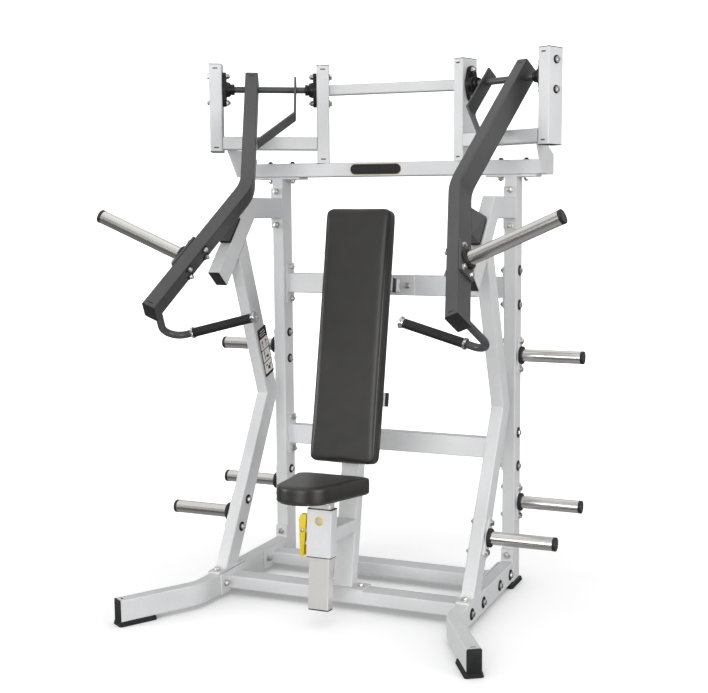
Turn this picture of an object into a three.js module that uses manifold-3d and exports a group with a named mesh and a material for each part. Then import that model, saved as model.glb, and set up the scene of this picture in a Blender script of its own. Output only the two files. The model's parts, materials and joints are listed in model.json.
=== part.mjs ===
// Plate-loaded iso-lateral chest press machine.
// Millimetres, +Z up, floor at z = 0, +X to the user's left hand seen from the front,
// the user sits facing -Y. Until the last lines, y = 0 is the front face of the uprights.
import * as THREE from 'three';
import { ConvexGeometry } from 'three/addons/geometries/ConvexGeometry.js';
import { mergeVertices } from 'three/addons/utils/BufferGeometryUtils.js';
import Module from 'manifold-3d';

const wasm = await Module();
wasm.setup();

// ---------------------------------------------------------------- dimensions

const GAP = 0.3;                        // left between pieces that touch
const PLATE = 8;                        // welded flange plates
const VENT = 20;                        // hole that lets a closed tube breathe

const TUBE = { narrow: 50, wide: 80, wall: 3, corner: 6 };
const FLOOR_PAD = 14;                   // rubber feet
const FOOT = { front: { width: 64, length: 140, inset: 62 }, rear: { width: 76, length: 140, y: 12 } };
const SIDE_X = 494;                     // middle of each side frame
const RAIL = { bendY: -649, toeX: 659, toeY: -915, bendRadius: 130, flangeTop: 142 };
const BEAM = { z0: 1589, height: 55, depth: 80, halfLength: 631, seatWidth: 200 };

const KINK = { y: -109.1, z: 724.2 };   // where the front leg turns, on its centreline
const LEG = { lean: 29, upperLean: 20.4, footPlate: 184 };
const TIE_Z = 1464;                     // tube from the upright to the stop arm
const STOP = { cornerY: -249.7, tipY: -477.3, tipZ: 1200.8, lean: 40.9 };
const TIE_FLANGE = 160;

const FRONT_CROSS_Y = -452;
const REAR_CROSS_Y = -117;
const CROSS = { z: 50, flange: 188 };
const BAR = { upperZ: 1160, lowerZ: 530, y: 45, flange: 160, flangeWidth: 60 };

const HORN = { diameter: 48, bore: 40, length: 258, plate: 140, upperZ: 900, lowerZ: 323, frontZ: 284 };
const ARM_HORN = { length: 367, along: 373, plate: [140, 80] };

const YAW = 25.23;                      // each bearing frame turns its outer end forward
const PIVOT_FRAME = { x: 642.55, y: -170.36, outerZ0: 1688, innerZ0: 1644, top: 2026, innerX: -421.5 };
const BEARING_BAR = { z0: 1695.5, height: 50 };
const SHAFT = { y: 40.35, z: 1932, diameter: 25 };
const BEARING = {
  height: 135, width: 62, flange: 15, body: 31, bodyDiameter: 58, collar: 46, collarDiameter: 42,
};
const UPPER_TIE = { size: 40, y: 45.5, z: 1932 };

const ARM = { inset: 114.4, lean: 38.23, above: 53, upper: 512, splay: 30.38, lower: 630, bendRadius: 150 };
const STAY = { x: -172, width: 50, thickness: 8, top: -50, knee: 140, foot: 286 };
const STOP_BLOCK = { x0: 467, x1: 513, from: 112, to: 232, rubber: 16, root: [80, 212] };
const HANDLE = { z: -1024, diameter: 27, wall: 3, rootX: 299, cornerY: 235, radius: 58 };
const GRIP = { inner: [-40, 87], length: 257, diameter: 34, cap: 43, collar: 41 };

const BACK = {
  tilt: 10.5, postY: -442, postZ: 78, postTop: 1300, width: 75, depth: 52, footPlate: [184, 80, 6],
};
const PAD = { width: 262, length: 937, thickness: 66, corner: 26, bottomY: -475, bottomZ: 542 };
const PAD_BRACKET = { heights: [665, 1092], width: 240, height: 50, plate: 6, wing: 62 };
const LINK = { width: 75, height: 50, plate: [196, 76] };

const SEAT = { tilt: 4, y: -633.5, z: 325 };  // middle of the sleeve
const SLEEVE = { width: 96, depth: 52, bottom: -83, top: 84, wall: 3, windowZ: 44, window: 24 };
const SEAT_POST = { width: 80, depth: 40, wall: 3, bottom: -270, top: 124 };
const SEAT_PAD = {
  bottom: 132.5, thickness: 60, rear: 109.5, halfWidth: 144, corner: 30, noseY: -134, nose: 100,
};
const SEAT_BRACKET = { width: 80, height: 50, z: -10 };
const LEVER = {
  x: -71, y: 0, z: 4, outerX: -85, innerX: -57, bottom: -89, top: 61, width: 24, sheet: 3, pivot: 6,
};
const LOCK = { z: -41, diameter: 10, head: 14, barrel: 16 };

// ----------------------------------------------------------------- materials

const finish = (color, roughness, metalness) => () =>
  new THREE.MeshStandardMaterial({ color, roughness, metalness });
const whitePaint = finish('#dcdee0', 0.38, 0.25);
const greyPaint = finish('#4d4d4e', 0.45, 0.3);
const satinChrome = finish('#c9c7c3', 0.28, 1);
const steel = finish('#a9aaac', 0.35, 1);
const blackIron = finish('#1d1d1e', 0.5, 0.4);
const rubber = finish('#1b1b1b', 0.85, 0);
const nylon = finish('#222222', 0.6, 0);
const leatherette = finish('#403f3d', 0.55, 0);
const yellowPaint = finish('#e8c326', 0.4, 0.1);

// ------------------------------------------------------------------- helpers

const rad = THREE.MathUtils.degToRad;
const V = (x, y, z) => new THREE.Vector3(x, y, z);

function roundedRect(width, height, radius) {
  const shape = new THREE.Shape();
  const x = width / 2, y = height / 2, r = radius;
  shape.moveTo(x, r - y).lineTo(x, y - r).absarc(x - r, y - r, r, 0, Math.PI / 2);
  shape.lineTo(r - x, y).absarc(r - x, y - r, r, Math.PI / 2, Math.PI);
  shape.lineTo(-x, r - y).absarc(r - x, r - y, r, Math.PI, Math.PI * 1.5);
  shape.lineTo(x - r, -y).absarc(x - r, r - y, r, Math.PI * 1.5, Math.PI * 2);
  return shape;
}

function plainRect(width, height) {
  const x = width / 2, y = height / 2;
  return new THREE.Shape([[-x, -y], [x, -y], [x, y], [-x, y]].map(([a, b]) => new THREE.Vector2(a, b)));
}

// Box section with rounded outer corners and a square bore.
function hollowRect(width, height, wall = TUBE.wall, corner = TUBE.corner) {
  const shape = roundedRect(width, height, corner);
  shape.holes.push(plainRect(width - 2 * wall, height - 2 * wall));
  return shape;
}

function circle(diameter, bore = 0) {
  const shape = new THREE.Shape().absarc(0, 0, diameter / 2, 0, Math.PI * 2);
  if (bore) shape.holes.push(new THREE.Path().absarc(0, 0, bore / 2, 0, Math.PI * 2));
  return shape;
}

const extrude = (shape, depth, curveSegments = 1, steps = 1) =>
  new THREE.ExtrudeGeometry(shape, { depth, steps, curveSegments, bevelEnabled: false });

const box = (x0, x1, y0, y1, z0, z1) =>
  new THREE.BoxGeometry(x1 - x0, y1 - y0, z1 - z0).translate((x0 + x1) / 2, (y0 + y1) / 2, (z0 + z1) / 2);

// A box whose x range is mirrored for the left side of the machine.
const sideBox = (s, x0, x1, ...rest) => box(Math.min(s * x0, s * x1), Math.max(s * x0, s * x1), ...rest);

// Replaces each inner corner of a polyline by an arc.
function fillet(points, radius, steps = 5) {
  const out = [points[0]];
  for (let i = 1; i < points.length - 1; i++) {
    const before = points[i - 1].clone().sub(points[i]).normalize();
    const after = points[i + 1].clone().sub(points[i]).normalize();
    const half = before.angleTo(after) / 2;
    const middle = before.clone().add(after).normalize();
    const centre = points[i].clone().addScaledVector(middle, radius / Math.sin(half));
    const start = points[i].clone().addScaledVector(before, radius / Math.tan(half)).sub(centre);
    const axis = before.clone().cross(after).normalize().negate();
    for (let k = 0; k <= steps; k++)
      out.push(start.clone().applyAxisAngle(axis, (k / steps) * (Math.PI - 2 * half)).add(centre));
  }
  out.push(points.at(-1));
  return out;
}

// Extrudes a section along a flat path with mitred corners. The section's x runs
// along `side`, which is square to the path. `cuts` gives the normals of the end faces.
function alongPath(section, points, side, { cuts = [], curveSegments = 1 } = {}) {
  const last = points.length - 1;
  const geometry = extrude(section, last, curveSegments, last);
  const stations = points.map((point, i) => {
    const back = i ? point.clone().sub(points[i - 1]).normalize() : null;
    const ahead = i < last ? points[i + 1].clone().sub(point).normalize() : null;
    const run = ahead ?? back;
    const face = (i === 0 && cuts[0]) || (i === last && cuts[1])
      || (back && ahead ? back.clone().add(ahead).normalize() : run);
    return { point, run, face, up: run.clone().cross(side).normalize() };
  });
  const position = geometry.attributes.position;
  for (let i = 0; i < position.count; i++) {
    const { point, run, face, up } = stations[Math.round(position.getZ(i))];
    const offset = side.clone().multiplyScalar(position.getX(i)).addScaledVector(up, position.getY(i));
    offset.addScaledVector(run, -offset.dot(face) / run.dot(face)).add(point);
    position.setXYZ(i, offset.x, offset.y, offset.z);
  }
  return outward(geometry);
}

// Turns a closed geometry's triangles round if they face in.
function outward(geometry) {
  const flat = geometry.index ? geometry.toNonIndexed() : geometry;
  const position = flat.attributes.position;
  const [a, b, c] = [V(), V(), V()];
  let volume = 0;
  for (let i = 0; i < position.count; i += 3) {
    a.fromBufferAttribute(position, i);
    b.fromBufferAttribute(position, i + 1);
    c.fromBufferAttribute(position, i + 2);
    volume += a.dot(b.cross(c));
  }
  if (volume > 0) return flat;
  for (let i = 0; i < position.count; i += 3) {
    b.fromBufferAttribute(position, i + 1);
    c.fromBufferAttribute(position, i + 2);
    position.setXYZ(i + 1, c.x, c.y, c.z);
    position.setXYZ(i + 2, b.x, b.y, b.z);
  }
  return flat;
}

function toSolid(geometry) {
  const bare = outward(geometry).clone();
  for (const name of Object.keys(bare.attributes)) if (name !== 'position') bare.deleteAttribute(name);
  const merged = mergeVertices(bare, 1e-3);
  return new wasm.Manifold(new wasm.Mesh({
    numProp: 3,
    vertProperties: new Float32Array(merged.attributes.position.array),
    triVerts: new Uint32Array(merged.index.array),
  }));
}

function toGeometry(solid) {
  const { vertProperties, triVerts } = solid.getMesh();
  const geometry = new THREE.BufferGeometry();
  geometry.setAttribute('position', new THREE.BufferAttribute(vertProperties, 3));
  geometry.setIndex(new THREE.BufferAttribute(triVerts, 1));
  return geometry;
}

const weld = (...pieces) => toGeometry(pieces.map(toSolid).reduce((sum, piece) => sum.add(piece)));
const cut = (piece, ...tools) =>
  toGeometry(tools.map(toSolid).reduce((rest, tool) => rest.subtract(tool), toSolid(piece)));

function addMesh(parent, name, geometry, material, { position = [0, 0, 0], rotation = [0, 0, 0] } = {}) {
  const mesh = new THREE.Mesh(geometry, material());
  mesh.name = name;
  mesh.position.set(...position);
  mesh.rotation.set(...rotation);
  mesh.geometry.computeVertexNormals();
  parent.add(mesh);
  return mesh;
}

function addGroup(parent, position, rotation) {
  const group = new THREE.Group();
  group.position.set(...position);
  group.rotation.set(...rotation);
  parent.add(group);
  return group;
}

// A welded end plate with a vent hole, square to x, y or z.
function flange(axis, centre, width, height) {
  const shape = plainRect(width, height);
  shape.holes.push(new THREE.Path().absarc(0, 0, VENT / 2, 0, Math.PI * 2));
  const plate = extrude(shape, PLATE, 3).translate(0, 0, -PLATE / 2);
  if (axis === 'x') plate.rotateY(Math.PI / 2).rotateX(Math.PI / 2);
  if (axis === 'y') plate.rotateX(Math.PI / 2);
  return plate.translate(...centre);
}

const sides = [['right', 1], ['left', -1]];
const machine = new THREE.Group();

// ---------------------------------------------------------------- side frames

function baseRail(s) {
  const z = FLOOR_PAD + TUBE.wide / 2;
  const corners = [V(s * SIDE_X, -PLATE / 2, z), V(s * SIDE_X, RAIL.bendY, z), V(s * RAIL.toeX, RAIL.toeY, z)];
  const path = fillet(corners, RAIL.bendRadius, 5);
  const rail = alongPath(hollowRect(TUBE.wide, TUBE.narrow), path, V(0, 0, 1));
  const height = RAIL.flangeTop - FLOOR_PAD;
  const plate = flange('y', [s * SIDE_X, -PLATE / 2 - GAP, FLOOR_PAD + height / 2], TUBE.narrow, height);
  return weld(rail, plate);
}

function upright(s) {
  const z1 = BEAM.z0 - GAP;
  const post = extrude(hollowRect(TUBE.narrow, TUBE.wide), z1 - PLATE / 2 - FLOOR_PAD)
    .translate(s * SIDE_X, TUBE.wide / 2, FLOOR_PAD);
  return weld(post, flange('z', [s * SIDE_X, TUBE.wide / 2, z1 - PLATE / 2], BEAM.seatWidth, TUBE.wide));
}

function frontLeg(s) {
  const railTop = FLOOR_PAD + TUBE.wide + GAP;
  const z0 = railTop + PLATE / 2;
  const foot = V(s * SIDE_X, KINK.y - (KINK.z - z0) * Math.tan(rad(LEG.lean)), z0);
  const arm = stopArmPath(s);
  const down = V(0, -Math.sin(rad(STOP.lean)), -Math.cos(rad(STOP.lean)));
  const rear = V(0, Math.cos(rad(STOP.lean)), -Math.sin(rad(STOP.lean)));
  const upper = V(0, -Math.sin(rad(LEG.upperLean)), Math.cos(rad(LEG.upperLean)));
  const kink = V(s * SIDE_X, KINK.y, KINK.z);
  const face = arm[1].clone().addScaledVector(rear, TUBE.wide / 2 + GAP);
  const reach = face.clone().sub(kink).dot(rear) / upper.dot(rear);
  const head = kink.clone().addScaledVector(upper, reach);
  const leg = alongPath(hollowRect(TUBE.narrow, TUBE.wide), [foot, kink, head], V(1, 0, 0),
    { cuts: [V(0, 0, 1), rear.clone().negate()] });
  const plate = flange('z', [s * SIDE_X, foot.y, railTop + PLATE / 2], TUBE.narrow, LEG.footPlate);
  return weld(leg, plate);
}

const stopArmPath = (s) => [
  V(s * SIDE_X, -PLATE / 2, TIE_Z), V(s * SIDE_X, STOP.cornerY, TIE_Z), V(s * SIDE_X, STOP.tipY, STOP.tipZ)];

function stopArm(s) {
  const tube = alongPath(hollowRect(TUBE.narrow, TUBE.wide), stopArmPath(s), V(1, 0, 0));
  return weld(tube, flange('y', [s * SIDE_X, -PLATE / 2 - GAP, TIE_Z], TUBE.narrow, TIE_FLANGE));
}

function floorPad(width, length) {
  return extrude(roundedRect(width, length, 8), FLOOR_PAD - GAP);
}

for (const [side, s] of sides) {
  addMesh(machine, `base_rail_${side}`, baseRail(s), whitePaint);
  addMesh(machine, `upright_${side}`, upright(s), whitePaint);
  addMesh(machine, `front_leg_${side}`, frontLeg(s), whitePaint);
  addMesh(machine, `stop_arm_${side}`, stopArm(s), whitePaint);
  addMesh(machine, `foot_pad_rear_${side}`, floorPad(FOOT.rear.width, FOOT.rear.length), rubber, {
    position: [s * SIDE_X, FOOT.rear.y, 0],
  });
  const toe = Math.atan2(RAIL.toeX - SIDE_X, RAIL.bendY - RAIL.toeY);
  const { inset } = FOOT.front;
  addMesh(machine, `foot_pad_front_${side}`, floorPad(FOOT.front.width, FOOT.front.length), rubber, {
    position: [s * (RAIL.toeX - inset * Math.sin(toe)), RAIL.toeY + inset * Math.cos(toe), 0],
    rotation: [0, 0, s * toe],
  });
}

// --------------------------------------------------------------- cross members

// A tube along x with a flange plate at each end, between the two side frames.
function crossMember(y, z, depth, height, flangeY, flangeZ) {
  const half = SIDE_X - TUBE.narrow / 2 - GAP - PLATE;
  const tube = extrude(hollowRect(height, depth), 2 * half + PLATE)
    .rotateY(Math.PI / 2).translate(-half - PLATE / 2, y, z);
  const plates = [-1, 1].map((s) => flange('x', [s * (half + PLATE / 2), y, z], flangeY, flangeZ));
  return weld(tube, ...plates);
}

const railHeight = TUBE.wide, railZ = FLOOR_PAD + TUBE.wide / 2;
function floorCross(y) {
  const half = SIDE_X - TUBE.narrow / 2 - GAP - PLATE;
  const tube = extrude(hollowRect(TUBE.narrow, TUBE.wide), 2 * half + PLATE)
    .rotateY(Math.PI / 2).translate(-half - PLATE / 2, y, CROSS.z);
  const centre = (s) => [s * (half + PLATE / 2), y, railZ];
  const plates = [-1, 1].map((s) => flange('x', centre(s), CROSS.flange, railHeight - 2));
  return weld(tube, ...plates);
}

addMesh(machine, 'front_cross_tube', floorCross(FRONT_CROSS_Y), whitePaint);
addMesh(machine, 'rear_cross_tube', floorCross(REAR_CROSS_Y), whitePaint);
for (const [name, z] of [['upper_crossbar', BAR.upperZ], ['lower_crossbar', BAR.lowerZ]])
  addMesh(machine, name, crossMember(BAR.y, z, TUBE.narrow, TUBE.wide, BAR.flangeWidth, BAR.flange), whitePaint);

// The beam on top of the uprights, with a gusset plate at each end under the bearing frame.
function crossbeam() {
  const tube = extrude(hollowRect(BEAM.height, BEAM.depth), 2 * BEAM.halfLength + PLATE)
    .rotateY(Math.PI / 2).translate(-BEAM.halfLength - PLATE / 2, BEAM.depth / 2, BEAM.z0 + BEAM.height / 2);
  const top = BEARING_BAR.z0 - GAP;
  const outline = [[-72, BEAM.z0], [83, BEAM.z0], [83, 1665], [-5, top], [-148, top]];
  const shape = new THREE.Shape(outline.map(([y, z]) => new THREE.Vector2(y, z)));
  const gussets = [-1, 1].map((s) => extrude(shape, PLATE)
    .rotateX(Math.PI / 2).rotateZ(Math.PI / 2).translate(s * (BEAM.halfLength + PLATE / 2) - PLATE / 2, 0, 0));
  const vents = [-1, 1].map((s) =>
    extrude(circle(VENT), 10, 6).translate(s * SIDE_X, BEAM.depth / 2, BEAM.z0 - 5));
  return cut(weld(tube, ...gussets), ...vents);
}
addMesh(machine, 'crossbeam', crossbeam(), whitePaint);

// ------------------------------------------------------------- bearing frames

// Local x runs from the inner post to the outer post (times s), y to the rear.
function bearingFrame(s) {
  return addGroup(machine, [s * PIVOT_FRAME.x, PIVOT_FRAME.y, 0], [0, 0, -s * rad(YAW)]);
}

function bearingPost(s, x0, z0) {
  return extrude(hollowRect(TUBE.narrow, TUBE.wide), PIVOT_FRAME.top - z0)
    .translate(s * (x0 + TUBE.narrow / 2), TUBE.wide / 2, z0);
}

// Two-bolt flange bearing with its bore along x; `reach` is the way it faces.
function flangeBearing(x, reach) {
  const bore = SHAFT.diameter + 2 * GAP;
  const neck = (BEARING.height - BEARING.width * 0.62) / 2;
  const plate = new THREE.Shape().absarc(0, neck, BEARING.width * 0.31, 0, Math.PI);
  plate.absarc(0, -neck, BEARING.width * 0.31, Math.PI, Math.PI * 2);
  const solids = [
    extrude(plate, BEARING.flange, 4),
    extrude(circle(BEARING.bodyDiameter), BEARING.body, 8),
    extrude(circle(BEARING.collarDiameter), BEARING.collar, 8),
  ];
  const drill = extrude(circle(bore), BEARING.collar + 2, 8).translate(0, 0, -1);
  return cut(weld(...solids), drill).rotateZ(Math.PI / 2).rotateY(reach * Math.PI / 2)
    .translate(x + reach * GAP, SHAFT.y, SHAFT.z);
}

for (const [side, s] of sides) {
  const frame = bearingFrame(s);
  const { innerX, innerZ0, outerZ0 } = PIVOT_FRAME;
  const innerFace = innerX + TUBE.narrow;
  addMesh(frame, `outer_post_${side}`, bearingPost(s, 0, outerZ0), whitePaint);
  addMesh(frame, `inner_post_${side}`, bearingPost(s, innerX, innerZ0 + GAP), whitePaint);
  const bar = extrude(hollowRect(BEARING_BAR.height, TUBE.wide), -innerFace - 2 * GAP).rotateY(Math.PI / 2)
    .translate(s > 0 ? innerFace + GAP : GAP, TUBE.wide / 2, BEARING_BAR.z0 + BEARING_BAR.height / 2);
  addMesh(frame, `bearing_bar_${side}`, bar, whitePaint);
  addMesh(frame, `outer_bearing_${side}`, flangeBearing(0, -s), blackIron);
  addMesh(frame, `inner_bearing_${side}`, flangeBearing(s * innerFace, s), blackIron);
}

// Tube joining the two inner posts, its ends cut to their yaw.
function upperTie() {
  const yaw = rad(YAW);
  const inward = V(-Math.cos(yaw), Math.sin(yaw), 0);
  const face = V(PIVOT_FRAME.x, PIVOT_FRAME.y, 0).addScaledVector(inward, -PIVOT_FRAME.innerX + GAP);
  const halfX = face.x + (UPPER_TIE.y - face.y) * inward.y / -inward.x;
  const cuts = [-1, 1].map((s) => V(Math.cos(yaw), -s * Math.sin(yaw), 0));
  const ends = [-1, 1].map((s) => V(s * halfX, UPPER_TIE.y, UPPER_TIE.z));
  return alongPath(hollowRect(UPPER_TIE.size, UPPER_TIE.size), ends, V(0, 0, 1), { cuts });
}
addMesh(machine, 'upper_tie', upperTie(), whitePaint);

// ----------------------------------------------------------------- press arms

// Local origin on the shaft, x outward (times s), y square to the arm's back, -z down the arm.
function armGroup(s) {
  const frame = bearingFrame(s);
  return addGroup(frame, [-s * ARM.inset, SHAFT.y, SHAFT.z], [-rad(ARM.lean), 0, 0]);
}

const splay = rad(ARM.splay);
const down = (s) => V(s * Math.sin(splay), 0, -Math.cos(splay));
const across = (s) => V(s * Math.cos(splay), 0, Math.sin(splay));
const onLower = (s, t, w, y) => V(0, y, -ARM.upper).addScaledVector(down(s), t).addScaledVector(across(s), w);

// Block from the arm's back to the rubber that rests on the stop arm.
function stopBlock(s, group, lift, thickness) {
  const along = V(0, -Math.sin(rad(STOP.lean)), -Math.cos(rad(STOP.lean)));
  const off = V(0, -Math.cos(rad(STOP.lean)), Math.sin(rad(STOP.lean)));
  const corner = V(0, STOP.cornerY, TIE_Z).addScaledVector(off, TUBE.wide / 2);
  const start = along.clone().multiplyScalar((TIE_Z + TUBE.wide / 2 - corner.z) / along.z).add(corner);
  const { x0, x1, from, to } = STOP_BLOCK;
  const at = (x, a, h) =>
    group.worldToLocal(start.clone().setX(s * x).addScaledVector(along, a).addScaledVector(off, h));
  const ring = (h) => [x0, x1].flatMap((x) => [from, to].map((a) => at(x, a, h)));
  if (thickness) return new ConvexGeometry([...ring(lift), ...ring(lift + thickness)]);
  const root = [-18, 24].flatMap((w) => STOP_BLOCK.root.map((t) => onLower(s, t, w, TUBE.wide / 2 - 1.5)));
  return new ConvexGeometry([...ring(lift), ...root]);
}

function pressArm(s, group) {
  const corners = [V(0, 0, ARM.above), V(0, 0, -ARM.upper), onLower(s, ARM.lower, 0, 0)];
  const path = fillet(corners, ARM.bendRadius, 4);
  const tube = alongPath(hollowRect(TUBE.wide, TUBE.narrow), path, V(0, 1, 0));
  const drill = extrude(circle(SHAFT.diameter + 2 * GAP), 80, 8).rotateY(Math.PI / 2).translate(-40, 0, 0);
  return cut(weld(tube, stopBlock(s, group, STOP_BLOCK.rubber + 3 * GAP)), drill);
}

// Flat bar that braces the arm to the inner end of the shaft.
function stayPlate(s) {
  const footX = TUBE.narrow / 2 + GAP + STAY.thickness / 2;
  const path = [V(s * STAY.x, 0, -STAY.top), V(s * STAY.x, 0, -STAY.knee), V(-s * footX, 0, -STAY.foot)];
  const strip = plainRect(STAY.width, STAY.thickness);
  const bar = alongPath(strip, path, V(0, 1, 0), { cuts: [V(0, 0, 1), V(1, 0, 0)] });
  const drill = extrude(circle(SHAFT.diameter + 2 * GAP), 40, 8)
    .rotateY(Math.PI / 2).translate(s * STAY.x - 20, 0, 0);
  return cut(bar, drill);
}

// Plate, collar and weight tube, built along +z.
function hornGeometry(length, plateX, plateY) {
  const collar = extrude(circle(62), PLATE + 12, 7);
  const tube = extrude(circle(HORN.diameter, HORN.bore), length - PLATE / 2, 7).translate(0, 0, PLATE / 2);
  const plate = extrude(plainRect(plateX, plateY), PLATE);
  const bore = extrude(circle(20), 40, 3).translate(0, 0, -5);
  return cut(weld(plate, collar, tube), bore);
}

function gripAxis(s) {
  const corner = V(s * HANDLE.rootX, HANDLE.cornerY, HANDLE.z);
  const tip = V(s * GRIP.inner[0], GRIP.inner[1], HANDLE.z);
  return { corner, tip, inward: tip.clone().sub(corner).normalize() };
}

function handleTube(s) {
  const start = V(s * HANDLE.rootX, TUBE.wide / 2 + GAP, HANDLE.z);
  const { corner, tip, inward } = gripAxis(s);
  const end = tip.clone().addScaledVector(inward, -6);
  const section = circle(HANDLE.diameter, HANDLE.diameter - 2 * HANDLE.wall);
  return alongPath(section, fillet([start, corner, end], HANDLE.radius, 6), V(0, 0, 1), { curveSegments: 5 });
}

function gripGeometry(length) {
  const r = GRIP.diameter / 2, bore = HANDLE.diameter / 2 + 2 * GAP;
  const profile = [[bore, 0], [GRIP.collar / 2, 0], [GRIP.collar / 2, 9], [r, 10], [r, length - 12],
    [GRIP.cap / 2 - 1, length - 6], [GRIP.cap / 2, length - 5], [GRIP.cap / 2, length],
    [0, length], [0, length - 3], [bore, length - 3], [bore, 0]];
  return new THREE.LatheGeometry(profile.map(([x, y]) => new THREE.Vector2(x, y)), 14);
}

for (const [side, s] of sides) {
  const arm = armGroup(s);
  machine.updateMatrixWorld(true);
  addMesh(arm, `press_arm_${side}`, pressArm(s, arm), greyPaint);
  addMesh(arm, `arm_stay_${side}`, stayPlate(s), greyPaint);

  const reach = PIVOT_FRAME.innerX + TUBE.narrow + ARM.inset;   // inner post's face, from the arm
  const shaftLength = ARM.inset - reach - 2;
  const shaft = extrude(circle(SHAFT.diameter), shaftLength, 8).rotateY(Math.PI / 2)
    .translate(s > 0 ? reach + 1 : -ARM.inset + 1, 0, 0);
  addMesh(arm, `pivot_shaft_${side}`, shaft, blackIron);

  const hornAt = onLower(s, ARM_HORN.along, TUBE.narrow / 2 + GAP, 0);
  addMesh(arm, `weight_horn_${side}`, hornGeometry(ARM_HORN.length, ...ARM_HORN.plate), satinChrome, {
    position: hornAt.toArray(), rotation: [0, s * (Math.PI / 2 - splay), 0],
  });
  addMesh(arm, `bumper_${side}`, stopBlock(s, arm, GAP, STOP_BLOCK.rubber), rubber);

  addMesh(arm, `handle_${side}`, handleTube(s), greyPaint);
  const { tip, inward } = gripAxis(s);
  const outer = tip.clone().addScaledVector(inward, -GRIP.length);
  const grip = addMesh(arm, `grip_${side}`, gripGeometry(GRIP.length), rubber, { position: outer.toArray() });
  grip.quaternion.setFromUnitVectors(V(0, 1, 0), inward);
}

// --------------------------------------------------------------- weight storage

for (const [side, s] of sides) {
  const rotation = [0, s * Math.PI / 2, 0];
  const x = s * (SIDE_X + TUBE.narrow / 2 + GAP);
  const horn = () => hornGeometry(HORN.length, HORN.plate, TUBE.narrow);
  for (const [place, z] of [['upper', HORN.upperZ], ['lower', HORN.lowerZ]]) {
    const position = [x, TUBE.wide / 2, z];
    addMesh(machine, `storage_horn_${place}_${side}`, horn(), satinChrome, { position, rotation });
  }
  const frontY = KINK.y - (KINK.z - HORN.frontZ) * Math.tan(rad(LEG.lean));
  addMesh(machine, `storage_horn_front_${side}`, horn(), satinChrome, {
    position: [x, frontY, HORN.frontZ], rotation: [-rad(LEG.lean), s * Math.PI / 2, 0],
  });
}

// -------------------------------------------------------------------- backrest

const back = addGroup(machine, [0, BACK.postY, BACK.postZ], [-rad(BACK.tilt), 0, 0]);   // z up the post

function backPost() {
  const tilt = rad(BACK.tilt);
  const top = (BACK.postTop - BACK.postZ) / Math.cos(tilt);
  const tube = alongPath(hollowRect(BACK.width, BACK.depth), [V(0, 0, 0), V(0, 0, top)], V(1, 0, 0),
    { cuts: [V(0, -Math.sin(tilt), Math.cos(tilt)), V(0, 0, 1)] });
  const [w, d, t] = BACK.footPlate;
  const foot = flange('z', [0, 0, GAP], w, d).scale(1, 1, t / PLATE)
    .translate(0, FRONT_CROSS_Y - BACK.postY, 0).rotateX(tilt);
  const pieces = [tube, foot];
  const padBack = padPlane() - GAP;
  for (const z of PAD_BRACKET.heights) {
    const { width, height, plate, wing } = PAD_BRACKET;
    pieces.push(box(-width / 2, width / 2, padBack, padBack + plate, z, z + height));
    pieces.push(box(-BACK.width / 2 + 4, BACK.width / 2 - 4, padBack, -BACK.depth / 2 + 1, z, z + height));
    for (const s of [-1, 1])
      pieces.push(sideBox(s, width / 2 - plate, width / 2, padBack, padBack + wing, z, z + height));
  }
  return weld(...pieces);
}

// y of the pad's rear face in the post's frame.
function padPlane() {
  const tilt = rad(BACK.tilt);
  const y = PAD.bottomY - BACK.postY, z = PAD.bottomZ - BACK.postZ;
  return y * Math.cos(tilt) - z * Math.sin(tilt) + PAD.thickness + 2 * GAP;
}

function padStart() {
  const tilt = rad(BACK.tilt);
  return (PAD.bottomY - BACK.postY) * Math.sin(tilt) + (PAD.bottomZ - BACK.postZ) * Math.cos(tilt);
}

addMesh(back, 'back_post', backPost(), whitePaint);
const padSolid = extrude(roundedRect(PAD.width, PAD.length, PAD.corner), PAD.thickness, 5)
  .rotateX(Math.PI / 2).translate(0, padPlane() - 2 * GAP, padStart() + PAD.length / 2);
addMesh(back, 'backrest_pad', padSolid, leatherette);

function postLink() {
  const tilt = rad(BACK.tilt);
  const axisY = BACK.postY + (BAR.upperZ - BACK.postZ) * Math.tan(tilt);
  const start = axisY + (BACK.depth / 2 + GAP) / Math.cos(tilt);
  const end = BAR.y - TUBE.narrow / 2 - GAP;
  const path = [V(0, start, BAR.upperZ), V(0, end - PLATE / 2, BAR.upperZ)];
  const tube = alongPath(hollowRect(LINK.width, LINK.height), path, V(1, 0, 0),
    { cuts: [V(0, Math.cos(tilt), -Math.sin(tilt)), V(0, 1, 0)] });
  return weld(tube, flange('y', [0, end - PLATE / 2, BAR.upperZ], ...LINK.plate));
}
addMesh(machine, 'post_link', postLink(), whitePaint);

// ------------------------------------------------------------------------ seat

const seat = addGroup(machine, [0, SEAT.y, SEAT.z], [-rad(SEAT.tilt), 0, 0]);   // z up the sleeve

const leverPivotHole = () => extrude(circle(LEVER.pivot + 2 * GAP), 40, 6).rotateX(Math.PI / 2)
  .translate(LEVER.x, LEVER.y + 20, LEVER.z);

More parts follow.
